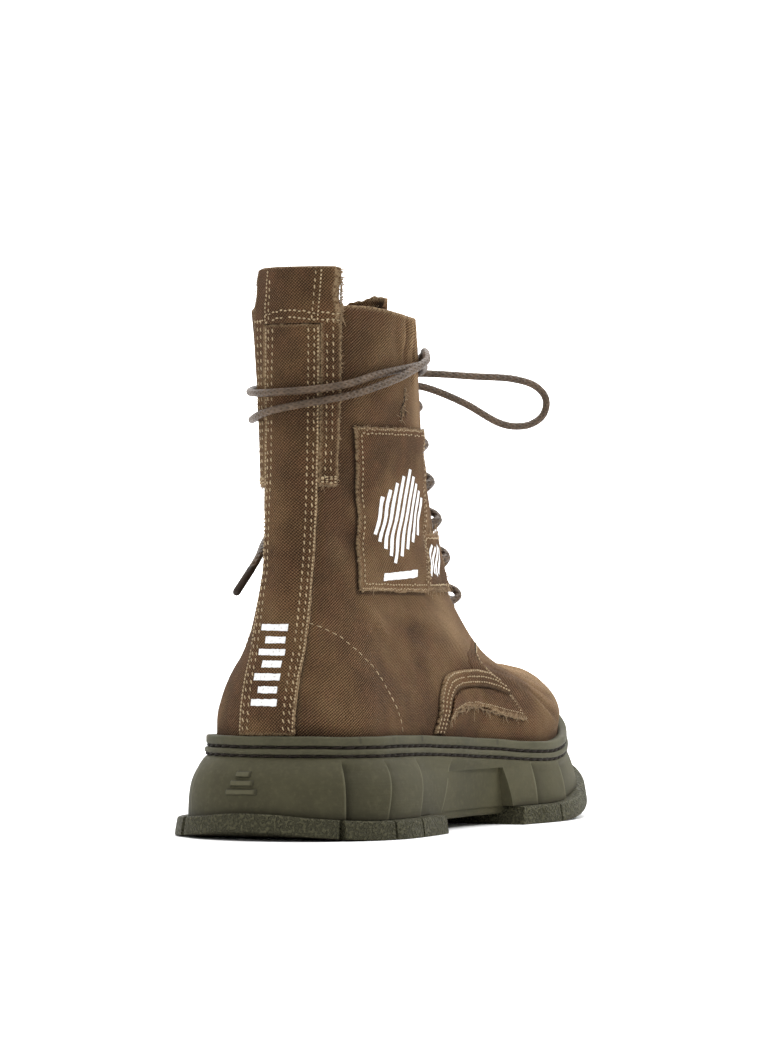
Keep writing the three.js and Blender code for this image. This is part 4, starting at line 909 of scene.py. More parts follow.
def strip(name, arc_low, arc_high, h_low, h_high, n, m, low, high, material, node=None, seed=1,
          fray=(0.25, 0.25, 0.25, 0.25), wear_edge=0.8, lean=0.0):
    """A cloth strip between two arcs and two heights, with rough edges (left, right, foot, top)."""
    a = np.linspace(0, 1, n)[:, None] * np.ones((1, m))
    b = np.ones((n, 1)) * np.linspace(0, 1, m)
    h = mix(h_low, h_high, b)
    h = h - np.exp(-b * m / 1.5) * np.abs(jitter(n, fray[2], seed + 3))[:, None]
    h = h + np.exp(-(1 - b) * m / 1.5) * np.abs(jitter(n, fray[3], seed + 4))[:, None]
    arc = mix(arc_low, arc_high, a) + lean * (1 - b)
    arc = arc - np.exp(-a * n / 1.5) * np.abs(jitter(m, fray[0], seed))
    arc = arc + np.exp(-(1 - a) * n / 1.5) * np.abs(jitter(m, fray[1], seed + 1))
    width, tall = arc_high - arc_low, h_high - h_low
    near = np.minimum(np.minimum(a, 1 - a) * width, np.minimum(b, 1 - b) * tall)
    values = {"wear_and_highlight": wear_edge * np.exp(-(near / 0.9) ** 2)}
    piece = cloth_sheet(name, u_at(h, arc), h, low, high, material, cloth_uv(arc, h), values)
    if node:
        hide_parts(node)


def tab_width(h):
    """Half the width of the pull tab: a little narrower above the collar."""
    waist = 1.5 * np.exp(-((h - SHAFT_RISE - 6) / 5.5) ** 2)
    return TAB_WIDTH / 2 - waist - 0.25


def tab_wave(a, h):
    return (0.35 * np.sin(a * 5 + h / 6) + 0.25 * np.sin(h / 4 + 1)) * smooth((h - SHAFT_RISE) / 8)


def tab_out(arc, h):
    """mm from the canvas to the outer face of the tab, which leans in over the collar."""
    t = np.clip((h - SHAFT_RISE - 4) / (TAB_TOP - SHAFT_RISE - 6.2), 0, 1)
    out = np.where(h < SHAFT_RISE + 2, TAB_OUTSIDE, mix(TAB_OUTSIDE - 0.3, 0.25, t))
    return out + tab_wave(arc / tab_width(h), h)


def tab_piece():
    outside, inside, top = TAB_OUTSIDE, -CANVAS_WALL - 0.5, TAB_TOP
    path = []
    for h in np.linspace(TAB_FOOT, SHAFT_RISE + 2, 9):
        path.append((outside, h))
    for h in np.linspace(SHAFT_RISE + 4, top - 2.2, 12):
        t = (h - SHAFT_RISE - 4) / (top - SHAFT_RISE - 6.2)
        path.append((mix(outside - 0.3, 0.25, t), h))
    for angle in np.linspace(0, math.pi, 9)[1:-1]:
        path.append((-1.1 + 1.3 * math.cos(angle), top - 1.6 + 1.5 * math.sin(angle)))
    for h in np.linspace(top - 2.2, SHAFT_RISE + 2, 12):
        t = (top - 2.2 - h) / (top - SHAFT_RISE - 4.2)
        path.append((mix(-2.4, inside - 1.3, t), h))
    for h in np.linspace(SHAFT_RISE, SHAFT_RISE - TAB_INSIDE, 24):
        path.append((inside - 1.3, h))
    path.append((inside, SHAFT_RISE - TAB_INSIDE - 0.2))
    for h in np.linspace(SHAFT_RISE - TAB_INSIDE, SHAFT_RISE, 10):
        path.append((inside, h))
    path.append((-1.1, SHAFT_RISE + 1.2))
    path.append((0.5, SHAFT_RISE))
    path.append((0.5, TAB_FOOT))
    path = np.array(path)
    n, m = 64, len(path)
    a = np.linspace(-1, 1, n)[:, None]
    h = np.tile(path[:, 1], (n, 1))
    edge = smooth((np.abs(a) - 0.9) / 0.1)
    h = h - edge * 0.6 * smooth((h - top + 3) / 3)
    out = path[:, 0] + tab_wave(a, h)
    rough = np.interp(path[:, 1], np.linspace(140, 215, 50), np.abs(jitter(50, 0.35, 40, 50)))
    arc = a * (tab_width(h) + edge * rough)
    u = u_at(h, arc)
    fold = folds(u, np.minimum(h, SHAFT_RISE))
    points = upper_point(u, h) + upper_normal(u, h) * (out + fold)[..., None]
    run = np.cumsum(np.hypot(*np.diff(path, axis=0, prepend=path[:1]).T))
    uv = cloth_uv(arc, run * np.ones((n, 1)))
    side_edge = smooth((a - 0.86) / 0.06) * 0.8 + smooth((-a - 0.93) / 0.05) * 0.4
    wear_and_highlight = np.clip(side_edge * np.ones((1, m)) + 0.5 * smooth((h - top + 1.2) / 1.0), 0, 1)
    faces = [tuple(face) for face in grid_faces(n, m, loop_j=True)]
    faces += [tuple(range(m)), tuple(range(n * m - 1, (n - 1) * m - 1, -1))]
    piece = make("pull_tab_canvas", points, faces, CANVAS_STRAP, uv, {"wear_and_highlight": wear_and_highlight})
    outward(piece)
    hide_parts("pull_tab")


def dense(table, keys, n):
    """The columns of a quarter table as smooth lines of n values."""
    i = np.linspace(0, 1, len(table[keys[0]]))
    t = np.linspace(0, 1, n)
    return [read({"i": i, "v": table[key]}, "i", "v", t)[:, None] for key in keys]


def quarter_sheets():
    n = 120
    b = np.linspace(0, 1, 14)
    full = np.ones((n, 1))
    for word, turn in MIRRORS:
        edge, edge_up, hem, hem_up = dense(QUARTER_BAND, ("edge", "edge_up", "hem", "hem_up"), n)
        u = mix(hem, edge, b)
        h = np.maximum(mix(hem_up, edge_up, b) * TOE_BOX_HEIGHT, 0.3)
        wear_and_highlight = 0.5 * np.exp(-((1 - b) * 6) ** 2) + 0.25 * np.exp(-(b * 8) ** 2)
        # painted shadow along the band's hem, where it lies over the vamp
        dark = 0.6 * np.exp(-(b * 7) ** 2)
        piece = cloth_sheet("quarter_band_%s_canvas" % word, turn(u), h, 0.3, 1.75, CANVAS_STRAP,
                            cloth_uv(arc_at(h, u), h), {"wear_and_highlight": wear_and_highlight * full, "painted_shade": dark * full})
        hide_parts("quarter_band_" + word)
        top, top_up, foot, foot_up = dense(QUARTER_FLAP, ("top", "top_up", "foot", "foot_up"), n)
        foot_up = foot_up + jitter(n, 0.022, 77, 50)[:, None]
        u = mix(foot, top, b)
        h = mix(foot_up, top_up, b) * TOE_BOX_HEIGHT
        wear_and_highlight = 0.9 * np.exp(-(b * 5.5) ** 2)
        piece = cloth_sheet("quarter_flap_%s_canvas" % word, turn(u), h, 0.35, 1.25, CANVAS,
                            cloth_uv(arc_at(h, u), h), {"wear_and_highlight": wear_and_highlight * full})
        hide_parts("quarter_flap_" + word)


upper_piece()
lining_piece()
tongue_piece()
strip("backstay_canvas", -BACKSTAY_WIDTH / 2, BACKSTAY_WIDTH / 2, 0.3, TAB_FOOT - 0.3, 40, 220,
      0.45, 1.9, CANVAS_STRAP, "backstay", seed=5)
tab_piece()
for word, side in SIDES:
    low, high = sorted((side * 13.9, side * 22.9))
    strip("tab_wing_" + word, low, high, WING_FOOT, TAB_FOOT + 4, 14, 120, 0.45, 1.85,
          CANVAS_STRAP, seed=21 + side, fray=(0.3, 0.3, 0.5, 0.1), wear_edge=0.95)
for node, patch, n, m, out, seed, fray in (
        ("side_patch", SIDE_PATCH, 90, 100, 2.0, 31, (0.45, 0.4, 0.55, 0.45)),
        ("facing_patch", FACING_PATCH, 50, 40, 2.1, 35, (0.4, 0.5, 0.9, 0.5))):
    start, width, low, tall, lean = patch
    strip(node + "_canvas", start, start + width, low, low + tall, n, m, 0.5, out, CANVAS_PATCH, node,
          seed=seed, fray=fray, lean=lean)
quarter_sheets()


# Stitches and loose threads
def run_along(points):
    """The distance run at each point of a line."""
    return np.concatenate([[0], np.cumsum(np.linalg.norm(np.diff(points, axis=0), axis=1))])


def capsules(name, points, normals, radius, material, profile=(0.35, 0.9, 1.0, 0.9, 0.35), sides=6):
    """Many short rounded strands as one mesh. points and normals: (count, rings, 3)."""
    count, rings, _ = points.shape
    way = unit(np.gradient(points, axis=1))
    side = unit(np.cross(normals, way))
    up = np.cross(way, side)
    a = np.arange(sides) * 2 * math.pi / sides
    r = np.asarray(profile)[None, :, None, None] * np.asarray(radius).reshape(-1, 1, 1, 1)
    verts = (points[:, :, None] + r * (np.cos(a)[:, None] * side[:, :, None]
                                       + np.sin(a)[:, None] * up[:, :, None]))
    ring = np.arange(rings - 1)[:, None] * sides
    j = np.arange(sides)[None, :]
    quad = np.stack([ring + j, ring + (j + 1) % sides, ring + sides + (j + 1) % sides,
                     ring + sides + j], -1).reshape(-1, 4)
    faces = (quad[None] + (np.arange(count) * rings * sides)[:, None, None]).reshape(-1, 4)
    make(name, verts, faces, material)


def along_line(u, h, pitch, share):
    """Places of stitches along a line on the upper: (count, 5) arrays of u and h."""
    run = run_along(upper_point(u, h))
    count = max(1, int(run[-1] / pitch))
    start = np.arange(count)[:, None] * run[-1] / count
    at = start + np.linspace(0.5 - share / 2, 0.5 + share / 2, 5)[None, :] * run[-1] / count
    return np.interp(at, run, u), np.interp(at, run, h)


SHADE_LENGTH = 1.45


def seam(name, rows, out, pitch=2.6, share=0.62, radius=0.36, wander=0.10, seed=1, tilt=0.0):
    """Stitches along rows, each a pair of arrays (u, h); out is mm or a function of u and h."""
    r = np.random.default_rng(seed)
    us, hs = [], []
    for u, h in rows:
        a, b = along_line(np.asarray(u, float), np.asarray(h, float), pitch, share)
        us.append(a + tilt / 290 * np.linspace(0.5, -0.5, 5))
        hs.append(b + r.normal(0, wander, (len(b), 1)))
    u, h = np.concatenate(us), np.concatenate(hs)
    keep = r.random(len(u)) > 0.025
    u, h = u[keep], h[keep]
    height = out if callable(out) else lambda *_: out
    sink = np.array([-0.40, 0.02, 0.12, 0.02, -0.40]) * radius / 0.36
    size = radius * r.uniform(0.82, 1.15, len(u))
    normals = upper_normal(u, h)
    capsules(name, skin_over(u, h, height(u, h) + sink), normals, size, SEAM_THREAD)
    # painted shade: a dark thread sunk under each stitch and a little longer, for the shade around it
    u = mix(u[:, 2:3], u, SHADE_LENGTH)
    h = mix(h[:, 2:3], h, SHADE_LENGTH)
    size = radius * np.full(len(u), 1.15)
    capsules(name + "_holes", skin_over(u, h, height(u, h) - 0.30), normals, size, SEAM_SHADE)


def skin_over(u, h, out):
    """As skin(), also above the collar, where the tab stands free."""
    fold = folds(u, np.minimum(h, SHAFT_RISE))
    h = h - collar_drop(u, h)
    return upper_point(u, h) + upper_normal(u, h) * (out + fold)[..., None]


def straight(arc_low, arc_high, h_low, h_high, n=60, bow=0.0):
    """A seam line by arcs and heights; bow lifts its middle in mm."""
    t = np.linspace(0, 1, n)
    h = mix(h_low, h_high, t) + bow * np.sin(math.pi * t)
    return u_at(h, mix(arc_low, arc_high, t)), h


def frays(name, u, h, out, aside, down, length, count, radius=0.13, material=FRAY_THREAD, seed=1,
          curl=0.5):
    """Loose threads from an edge, which leave it towards (aside, down) in mm of arc and height."""
    r = np.random.default_rng(seed)
    pick = r.random(count) * (len(u) - 1)
    i = np.arange(len(u))
    u0, h0 = np.interp(pick, i, u), np.interp(pick, i, h)
    o0 = np.interp(pick, i, np.broadcast_to(out, len(u))) + r.uniform(-0.4, 0.3, count)
    arc0 = arc_at(np.minimum(h0, SHAFT_RISE), u0)
    size = length * r.gamma(2.2, 0.42, count)
    turn = r.normal(0, 0.9, count)
    t = np.linspace(-0.25, 1, 6)[None, :]
    spread = r.normal(0, 0.55, (2, count))
    bend = r.normal(0, curl, (3, count))
    ways = [(aside + spread[0])[:, None] * t + bend[0][:, None] * t * t,
            (-down + spread[1])[:, None] * t + bend[1][:, None] * t * t + turn[:, None] * 0.25 * t ** 3]
    h1 = h0[:, None] + ways[1] * size[:, None]
    arc1 = arc0[:, None] + ways[0] * size[:, None]
    o1 = o0[:, None] + np.abs(0.35 + bend[2])[:, None] * np.maximum(t, 0) * size[:, None] * 0.6
    u1 = u_at(np.minimum(h1, SHAFT_RISE), arc1)
    points = skin_over(u1, h1, o1)
    size = radius * r.uniform(0.7, 1.3, count)
    capsules(name, points, upper_normal(u1, h1), size, material,
             profile=(1.0, 1.0, 1.0, 0.95, 0.8, 0.45), sides=4)


SEAM_OUT = 1.95
for word, side in SIDES:
    rows = [straight(side * arc, side * arc, 1.5, TAB_FOOT - 1.5, 200) for arc in (12.7, 11.1, 8.6)]
    seam("backstay_seams_" + word, rows[:1], SEAM_OUT, 1.75, 0.6, 0.38, seed=50 + side)
    seam("backstay_dashes_" + word, rows[1:], SEAM_OUT, 3.4, 0.62, 0.34, seed=60 + side, tilt=0.6)
    rows = [straight(side * arc, side * arc, WING_FOOT + 2, TAB_FOOT + 3, 120) for arc in (16.6, 19.3)]
    seam("wing_seams_" + word, rows, SEAM_OUT - 0.05, 3.4, 0.62, 0.34, seed=70 + side, tilt=0.6)
    hem = [straight(side * 14.4, side * 22.6, WING_FOOT + up, WING_FOOT + up, 30)
           for up in (1.2, 2.4, 3.4)]
    seam("wing_hem_" + word, hem, SEAM_OUT - 0.05, 1.7, 0.7, 0.40, 0.3, seed=80 + side)
    line = straight(side * 23, side * 23, WING_FOOT, TAB_FOOT, 80)
    frays("wing_frays_" + word, *line, 1.5, side * 0.7, 0.2, 0.42, 200, seed=90 + side)
    line = straight(side * 14, side * 23, WING_FOOT - 0.2, WING_FOOT - 0.2, 30)
    frays("wing_end_frays_" + word, *line, 1.4, side * 0.1, 0.9, 0.6, 60, seed=95 + side)


def on_tab(u, h):
    return tab_out(arc_at(np.minimum(h, SHAFT_RISE), u), h) + 0.05


tab_rows = [straight(-13.2, -13.0, TAB_FOOT + 1, TAB_TOP - 1.4),
            straight(12.4, 14.2, TAB_FOOT + 1, TAB_TOP - 1.4)]
seam("tab_seams", tab_rows, on_tab, 1.75, 0.6, 0.38, seed=101)
tab_rows = [straight(-10.9, -11.0, TAB_FOOT + 1, SHAFT_RISE + 13),
            straight(9.9, 11.7, TAB_FOOT + 1, TAB_TOP - 1.4)]
seam("tab_dashes", tab_rows, on_tab, 3.0, 0.60, 0.34, seed=102, tilt=0.5)
cross = [straight(-13.4, 12.0, TAB_FOOT + up - 0.9, TAB_FOOT + up - 0.4, 50, 1.9) for up in (4.7, 1.4)]
cross.append(straight(13.5, 22.6, TAB_FOOT + 4.9, TAB_FOOT + 4.2, 30))
cross.append(straight(13.5, 22.6, TAB_FOOT + 1.5, TAB_FOOT + 1.2, 30))
cross.append(straight(-22.6, -14.2, TAB_FOOT + 1.4, TAB_FOOT + 1.8, 30))
seam("tab_cross_seams", cross, on_tab, 2.0, 0.66, 0.40, 0.16, seed=103)
tab_edge = straight(22.6, 22.6, TAB_FOOT, TAB_TOP - 1, 80)
frays("tab_frays_outer", *tab_edge, on_tab(*tab_edge) - 0.3, 0.7, 0.2, 0.62, 420, 0.17,
      seed=104, curl=0.9)
tab_edge = straight(-22.6, -22.6, TAB_FOOT, TAB_TOP - 1, 80)
frays("tab_frays_inner", *tab_edge, on_tab(*tab_edge), -0.7, 0.1, 0.35, 150, 0.13, seed=105)
tab_edge = straight(-22.3, 22.3, TAB_TOP - 0.9, TAB_TOP - 0.9, 80)
frays("tab_frays_top", *tab_edge, 0.2, 0.2, -0.6, 0.5, 60, 0.12, seed=106)


def patch_line(start, width, low, tall, lean, inset, sides="lrbt"):
    """Seam lines inset from the sides of a leaning patch."""
    def arc(share, h):
        return mix(start, start + width, share) + lean * (1 - (h - low) / tall)

    inn, top = inset / width, low + tall - inset
    lines = {
        "l": (arc(inn, low + inset), arc(inn, top), low + inset, top),
        "r": (arc(1 - inn, low + inset), arc(1 - inn, top), low + inset, top),
        "b": (arc(inn, low + inset), arc(1 - inn, low + inset), low + inset, low + inset),
        "t": (arc(inn, top), arc(1 - inn, top), top, top),
    }
    return [straight(*lines[side], 60) for side in sides]


rows = patch_line(*SIDE_PATCH, 2.8)
seam("side_patch_seams", rows, 2.05, 2.4, 0.58, 0.34, 0.14, seed=110)
rows = patch_line(*SIDE_PATCH, 0.8, "bt") + patch_line(*SIDE_PATCH, 4.6, "r")
seam("side_patch_edging", rows, 1.75, 1.5, 0.75, 0.34, 0.25, seed=111)
rows = patch_line(*FACING_PATCH, 1.9, "lbt")
seam("facing_patch_seams", rows, 2.15, 1.9, 0.62, 0.36, 0.2, seed=112)
for name, patch, side, aside, down, length, count in (
        ("side_patch_frays_left", SIDE_PATCH, "l", -0.6, 0.0, 0.5, 120),
        ("side_patch_frays_foot", SIDE_PATCH, "b", 0.1, 0.5, 0.4, 150),
        ("side_patch_frays_top", SIDE_PATCH, "t", 0.1, -0.6, 0.5, 90),
        ("facing_patch_frays_foot", FACING_PATCH, "b", 0.1, 0.6, 0.9, 170),
        ("facing_patch_frays_left", FACING_PATCH, "l", -0.7, 0.1, 0.5, 60),
        ("facing_patch_frays_top", FACING_PATCH, "t", 0.0, -0.8, 1.2, 90),
        ("facing_patch_frays_front", FACING_PATCH, "r", 0.8, 0.1, 1.3, 90)):
    line = patch_line(*patch, 0.0, side)[0]
    frays(name, *line, 1.7, aside, down, length, count, 0.15, seed=len(name) + count)


def table_line(table, first, second, share, n=120):
    """A line through a quarter table, between its two edges."""
    t = np.linspace(0, 1, n) * (len(table[first]) - 1)
    i = np.arange(len(table[first]))
    u = np.interp(t, i, mix(table[first], table[second], share))
    h = np.interp(t, i, mix(table[first + "_up"], table[second + "_up"], share)) * TOE_BOX_HEIGHT
    return u, h


COUNTER_SEAM = np.array([
    (0.050, 50.9), (0.074, 48.4), (0.095, 44.9), (0.114, 38.4), (0.123, 31.9), (0.135, 22.4),
    (0.145, 13.5), (0.153, 6.0), (0.156, 0.6),
])
for word, turn in MIRRORS:
    rows = [table_line(QUARTER_BAND, "edge", "hem", share) for share in (0.10, 0.42, 0.74)]
    seam("band_seams_" + word, [(turn(u), h) for u, h in rows], 1.80, 2.15, 0.56, 0.36, 0.05, seed=120)
    u, h = table_line(QUARTER_FLAP, "foot", "top", 0.28)
    seam("flap_seam_" + word, [(turn(u), h)], 1.28, 1.5, 0.6, 0.20, 0.05, seed=121)
    u, h = table_line(QUARTER_FLAP, "foot", "top", 0.0)
    frays("flap_frays_" + word, turn(u), h, 0.9, 0.1, 0.45, 0.62, 260, 0.22, seed=122, curl=1.3)
    frays("flap_shade_" + word, turn(u), h, 0.2, 0.0, 0.9, 0.7, 200, 0.22, FRAY_DARK, seed=125, curl=0.4)
    h = np.linspace(10.2, 44.0, 150)
    u = quarter_edge(h)
    seam("quarter_edge_seam_" + word, [(turn(u - 0.0035), h)], 0.98, 1.9, 0.60, 0.32, 0.05, seed=123)
    t = np.linspace(0, 8, 120)
    u, h = (np.interp(t, np.arange(9), column) for column in COUNTER_SEAM.T)
    seam("counter_seam_" + word, [(turn(u), h)], 0.05, 4.0, 0.74, 0.22, 0.16, seed=124)


def quarter_edge_strips():
    """The quarters' folded front edge, a step over the vamp that fades out behind it."""
    for word, turn in MIRRORS:
        n, m = 9, 120
        h = np.broadcast_to(np.linspace(9.6, 47.9, m)[None, :], (n, m))
        b = np.linspace(0, 1, n)[:, None]
        u = quarter_edge(h) - 0.022 * b * smooth((h - 8) / 12)
        top = mix(1.0, 0.06, smooth(b)) * np.ones((1, m))
        top[0] = 0.6
        top *= 1 - 0.9 * smooth((h - 36) / 8)
        outer = skin(turn(u), h, top)
        inner = skin(turn(u), h, -0.5)
        wear_and_highlight = 0.45 * np.exp(-(b * 8) ** 2) * np.ones((1, m))
        sheet("quarter_edge_" + word, outer, inner, CANVAS, cloth_uv(arc_at(h, u), h), {"wear_and_highlight": wear_and_highlight})


quarter_edge_strips()


# Plain printed bars: (arc, height, length, width, degrees), all in mm
def print_bars(name, bars, out, seed):
    n, m = 16, 5
    r = np.random.default_rng(seed)
    points, faces, uvs = [], [], []
    for k, (arc, height, length, width, degrees) in enumerate(bars):
        a = np.linspace(-0.5, 0.5, n)[:, None]
        b = np.linspace(-0.5, 0.5, m)[None, :]
        rough = 1 + r.normal(0, 0.05, (n, 1))
        x, y = a * length * np.ones((1, m)), b * width * rough
        turn = math.radians(degrees)
        at = arc + x * math.cos(turn) - y * math.sin(turn)
        h = height + x * math.sin(turn) + y * math.cos(turn)
        points.append(skin(u_at(h, at), h, out).reshape(-1, 3))
        uvs.append(np.stack([at, h], -1).reshape(-1, 2) / 1000)
        faces.append(grid_faces(n, m, start=k * n * m))
    make(name, np.concatenate(points), np.concatenate(faces), PRINT, np.concatenate(uvs))


lozenge = [(46 + 4.7 * k + 9 * 0.42, 99.0, 44 - 6.6 * abs(k - 4), 2.6, 78) for k in range(9)]
lozenge += [(72.0, 72.0, 30.0, 3.4, 4)]
print_bars("side_patch_print", lozenge, 2.07, seed=131)
print_bars("facing_patch_print", [(106.5 + 5.2 * k, 79.0, 15.0 - 2 * (k % 2), 2.6, 68) for k in range(4)],
           2.17, seed=132)
heel_bars = [(-1.2 + 1.2 * (k % 2), 14.5 + 5.6 * k, 12.5 - 3.4 * (k % 2), 3.0, 0) for k in range(7)]
print_bars("backstay_print", heel_bars, 1.97, seed=133)


# The cut in the shaft and its ravelled sides
def slit_piece():
    n, m = 30, 5
    t = np.linspace(0, 1, n)[:, None]
    b = np.linspace(-1, 1, m)[None, :]
    h = mix(157.6, 141.7, t) * np.ones((1, m))
    u = mix(0.252, 0.237, t) + 0.0016 * np.sin(7 * t)
    arc = arc_at(h, u * np.ones((1, m))) + b * 0.75 * np.sin(math.pi * np.clip(t, 0.05, 0.98)) ** 0.5
    points = skin(u_at(h, arc), h, 0.12)
    # a dark sheet in the cut: painted shade inside it
    dark = np.ones(points.shape[:2])
    make("shaft_slit", points, grid_faces(n, m), CANVAS, np.stack([arc, h], -1) / 1000, {"painted_shade": dark})
    line = (u_at(h[:, 0], arc[:, 0]), h[:, 0])
    frays("slit_frays_back", *line, 0.1, -0.4, 0.2, 0.6, 60, 0.15, seed=141, curl=0.9)
    line = (u_at(h[:, -1], arc[:, -1]), h[:, -1])
    frays("slit_frays_front", *line, 0.1, 0.5, 0.2, 0.7, 70, 0.15, seed=142, curl=0.9)
    t = np.linspace(0, 1, 12)
    h = mix(149.5, 144.6, t)
    arc = arc_at(h, 0.249) + t
    frays("slit_nick", u_at(h, arc), h, 0.1, 0.1, 0.6, 0.7, 26, 0.15, FRAY_DARK, seed=143)


slit_piece()
h = np.full(60, SHAFT_RISE + TONGUE_ABOVE - 0.8)
u = u_at(h, arc_at(h, 0.5) + np.linspace(-16, 16, 60))
frays("tongue_frays", u[18:58], h[18:58], -5.0, 0.0, -0.5, 0.3, 60, 0.12, seed=151, curl=0.8)
for word, side in (("outer", 1), ("inner", -1)):
    rows = [straight(side * 24.5, side * 100, SHAFT_RISE - 0.6, SHAFT_RISE - 0.6, 80)]
    frays("collar_frays_" + word, *rows[0], -0.2, 0.1, -0.5, 0.22, 90, 0.10, seed=152 + side)


# Laces
def catmull(points, per=8):
    """A smooth line through points, on centripetal terms."""
    p = np.asarray(points, float)
    p = np.vstack([2 * p[0] - p[1], p, 2 * p[-1] - p[-2]])
    out = []
    for i in range(1, len(p) - 2):
        knots = [0.0]
        for k in range(3):
            knots.append(knots[-1] + math.sqrt(np.linalg.norm(p[i + k] - p[i + k - 1])))
        t0, t1, t2, t3 = knots
        for t in np.linspace(t1, t2, per, endpoint=False):
            a1 = ((t1 - t) * p[i - 1] + (t - t0) * p[i]) / (t1 - t0)
            a2 = ((t2 - t) * p[i] + (t - t1) * p[i + 1]) / (t2 - t1)
            a3 = ((t3 - t) * p[i + 1] + (t - t2) * p[i + 2]) / (t3 - t2)
            b1 = ((t2 - t) * a1 + (t - t0) * a2) / (t2 - t0)
            b2 = ((t3 - t) * a2 + (t - t1) * a3) / (t3 - t1)
            out.append(((t2 - t) * b1 + (t - t1) * b2) / (t2 - t1))
    out.append(p[-2])
    return np.array(out)


CAP = ((0.45, 0.88), (0.85, 0.55), (1.0, 0.12))


def tubes(name, lines, radius, material, sides=14, caps=True):
    """Round tubes along lines of points in mm, joined as one mesh; UV runs around and along."""
    points, faces, uvs = [], [], []
    start = 0
    for line in lines:
        way = unit(np.gradient(line, axis=0))
        size = np.full(len(line), float(radius))
        if caps:
            head = [line[0] - way[0] * radius * far for far, _ in CAP[::-1]]
            foot = [line[-1] + way[-1] * radius * far for far, _ in CAP]
            line = np.vstack([head, line, foot])
            way = np.vstack([[way[0]] * 3, way, [way[-1]] * 3])
            thin = radius * np.array([share for _, share in CAP])
            size = np.concatenate([thin[::-1], size, thin])
        side = np.array([0.31, 0.52, 0.79])
        sides_at = []
        for w in way:
            side = unit(side - w * np.dot(side, w))
            sides_at.append(side)
        side = np.array(sides_at)
        up = np.cross(way, side)
        a = np.linspace(0, 2 * math.pi, sides + 1)
        ring = (line[:, None] + size[:, None, None] * (np.cos(a)[:, None] * side[:, None]
                                                       + np.sin(a)[:, None] * up[:, None]))
        run = run_along(line) / 1000
        uv = np.stack(np.broadcast_arrays(a[None, :] / (2 * math.pi), run[:, None]), -1)
        points.append(ring.reshape(-1, 3))
        uvs.append(uv.reshape(-1, 2))
        faces.append(grid_faces(len(line), sides + 1, start=start))
        start += len(line) * (sides + 1)
    piece = make(name, np.concatenate(points), np.concatenate(faces), material, np.concatenate(uvs))
    weld(piece, 1e-6)
    return piece


LACE_RADIUS = LACE_DIAMETER / 2
LACE_OVER = FRONT_SEAT + LACE_RADIUS


def on_shaft(table):
    table = np.array(table)
    h = table[:, 1] * SHAFT_RISE
    return upper_point(table[:, 0], h) + upper_normal(table[:, 0], h) * table[:, 2][:, None]


knot_height = SHAFT_RISE - KNOT_BELOW_COLLAR
knot_out = LACE_OVER + LACE_RADIUS + PIECE_GAP + KNOT_DEPTH / 2
KNOT = (upper_point(np.array([0.5]), np.array([knot_height]))
        + upper_normal(np.array([0.5]), np.array([knot_height])) * knot_out)[0]

for word, table in (("upper", UPPER_WRAP), ("lower", LOWER_WRAP)):
    line = catmull(on_shaft(table))
    piece = tubes("lace_around_" + word, [line], LACE_RADIUS, LACE)
    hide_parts("lace_wrap_" + word)
for word, side in (("outer", -1), ("inner", 1)):
    line = catmull([KNOT + np.array([x, side * y, z]) for x, y, z in BOW_LOOP], 10)
    piece = tubes("bow_loop_" + word, [line], LACE_RADIUS, LACE)
    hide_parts("lace_loop_" + word)
for word, table in (("inner", INNER_END), ("front", FRONT_END)):
    line = catmull(on_shaft(table), 10)
    piece = tubes("loose_end_" + word, [line], LACE_RADIUS, LACE)
    run = np.cumsum(np.linalg.norm(np.diff(line[::-1], axis=0), axis=1))
    last = line[::-1][:int(np.searchsorted(run, 12.5)) + 2][::-1]
    tip = tubes("lace_tip_" + word, [last], LACE_RADIUS + 0.12, LACE_TIP)
    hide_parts("lace_end_" + word)


def knot_piece():
    rings = []
    t = np.linspace(0, 2 * math.pi, 33)
    for y, deep, tall, lean in ((0.0, 2.3, 3.1, 0.35), (3.2, 1.9, 2.5, -0.45), (-3.2, 1.9, 2.5, -0.30)):
        ring = np.stack([deep * np.cos(t), y + lean * tall * np.sin(t), tall * np.sin(t)], -1)
        rings.append(KNOT + ring)
    piece = tubes("bow_knot", rings, LACE_RADIUS, LACE, caps=False)
    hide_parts("lace_knot")


def eyelet_height(row):
    return mix(EYELET_LOW, SHAFT_RISE - EYELET_FROM_TOP, row / (EYELET_ROWS - 1))


def eyelet_arc(height, side):
    """Arc from the front middle to the eyelets at a height; side is -1 outer, 1 inner."""
    up = (height - THROAT_LOW) / (SHAFT_RISE - THROAT_LOW)
    return side * (mix(THROAT_FOOT_WIDTH, THROAT_WIDTH, up) / 2 + EYELET_INSET)


def front_u(height, arc):
    """Place around at an arc in mm from the front middle, the inner side positive."""
    return u_at(height, arc_at(height, 0.5) + arc)


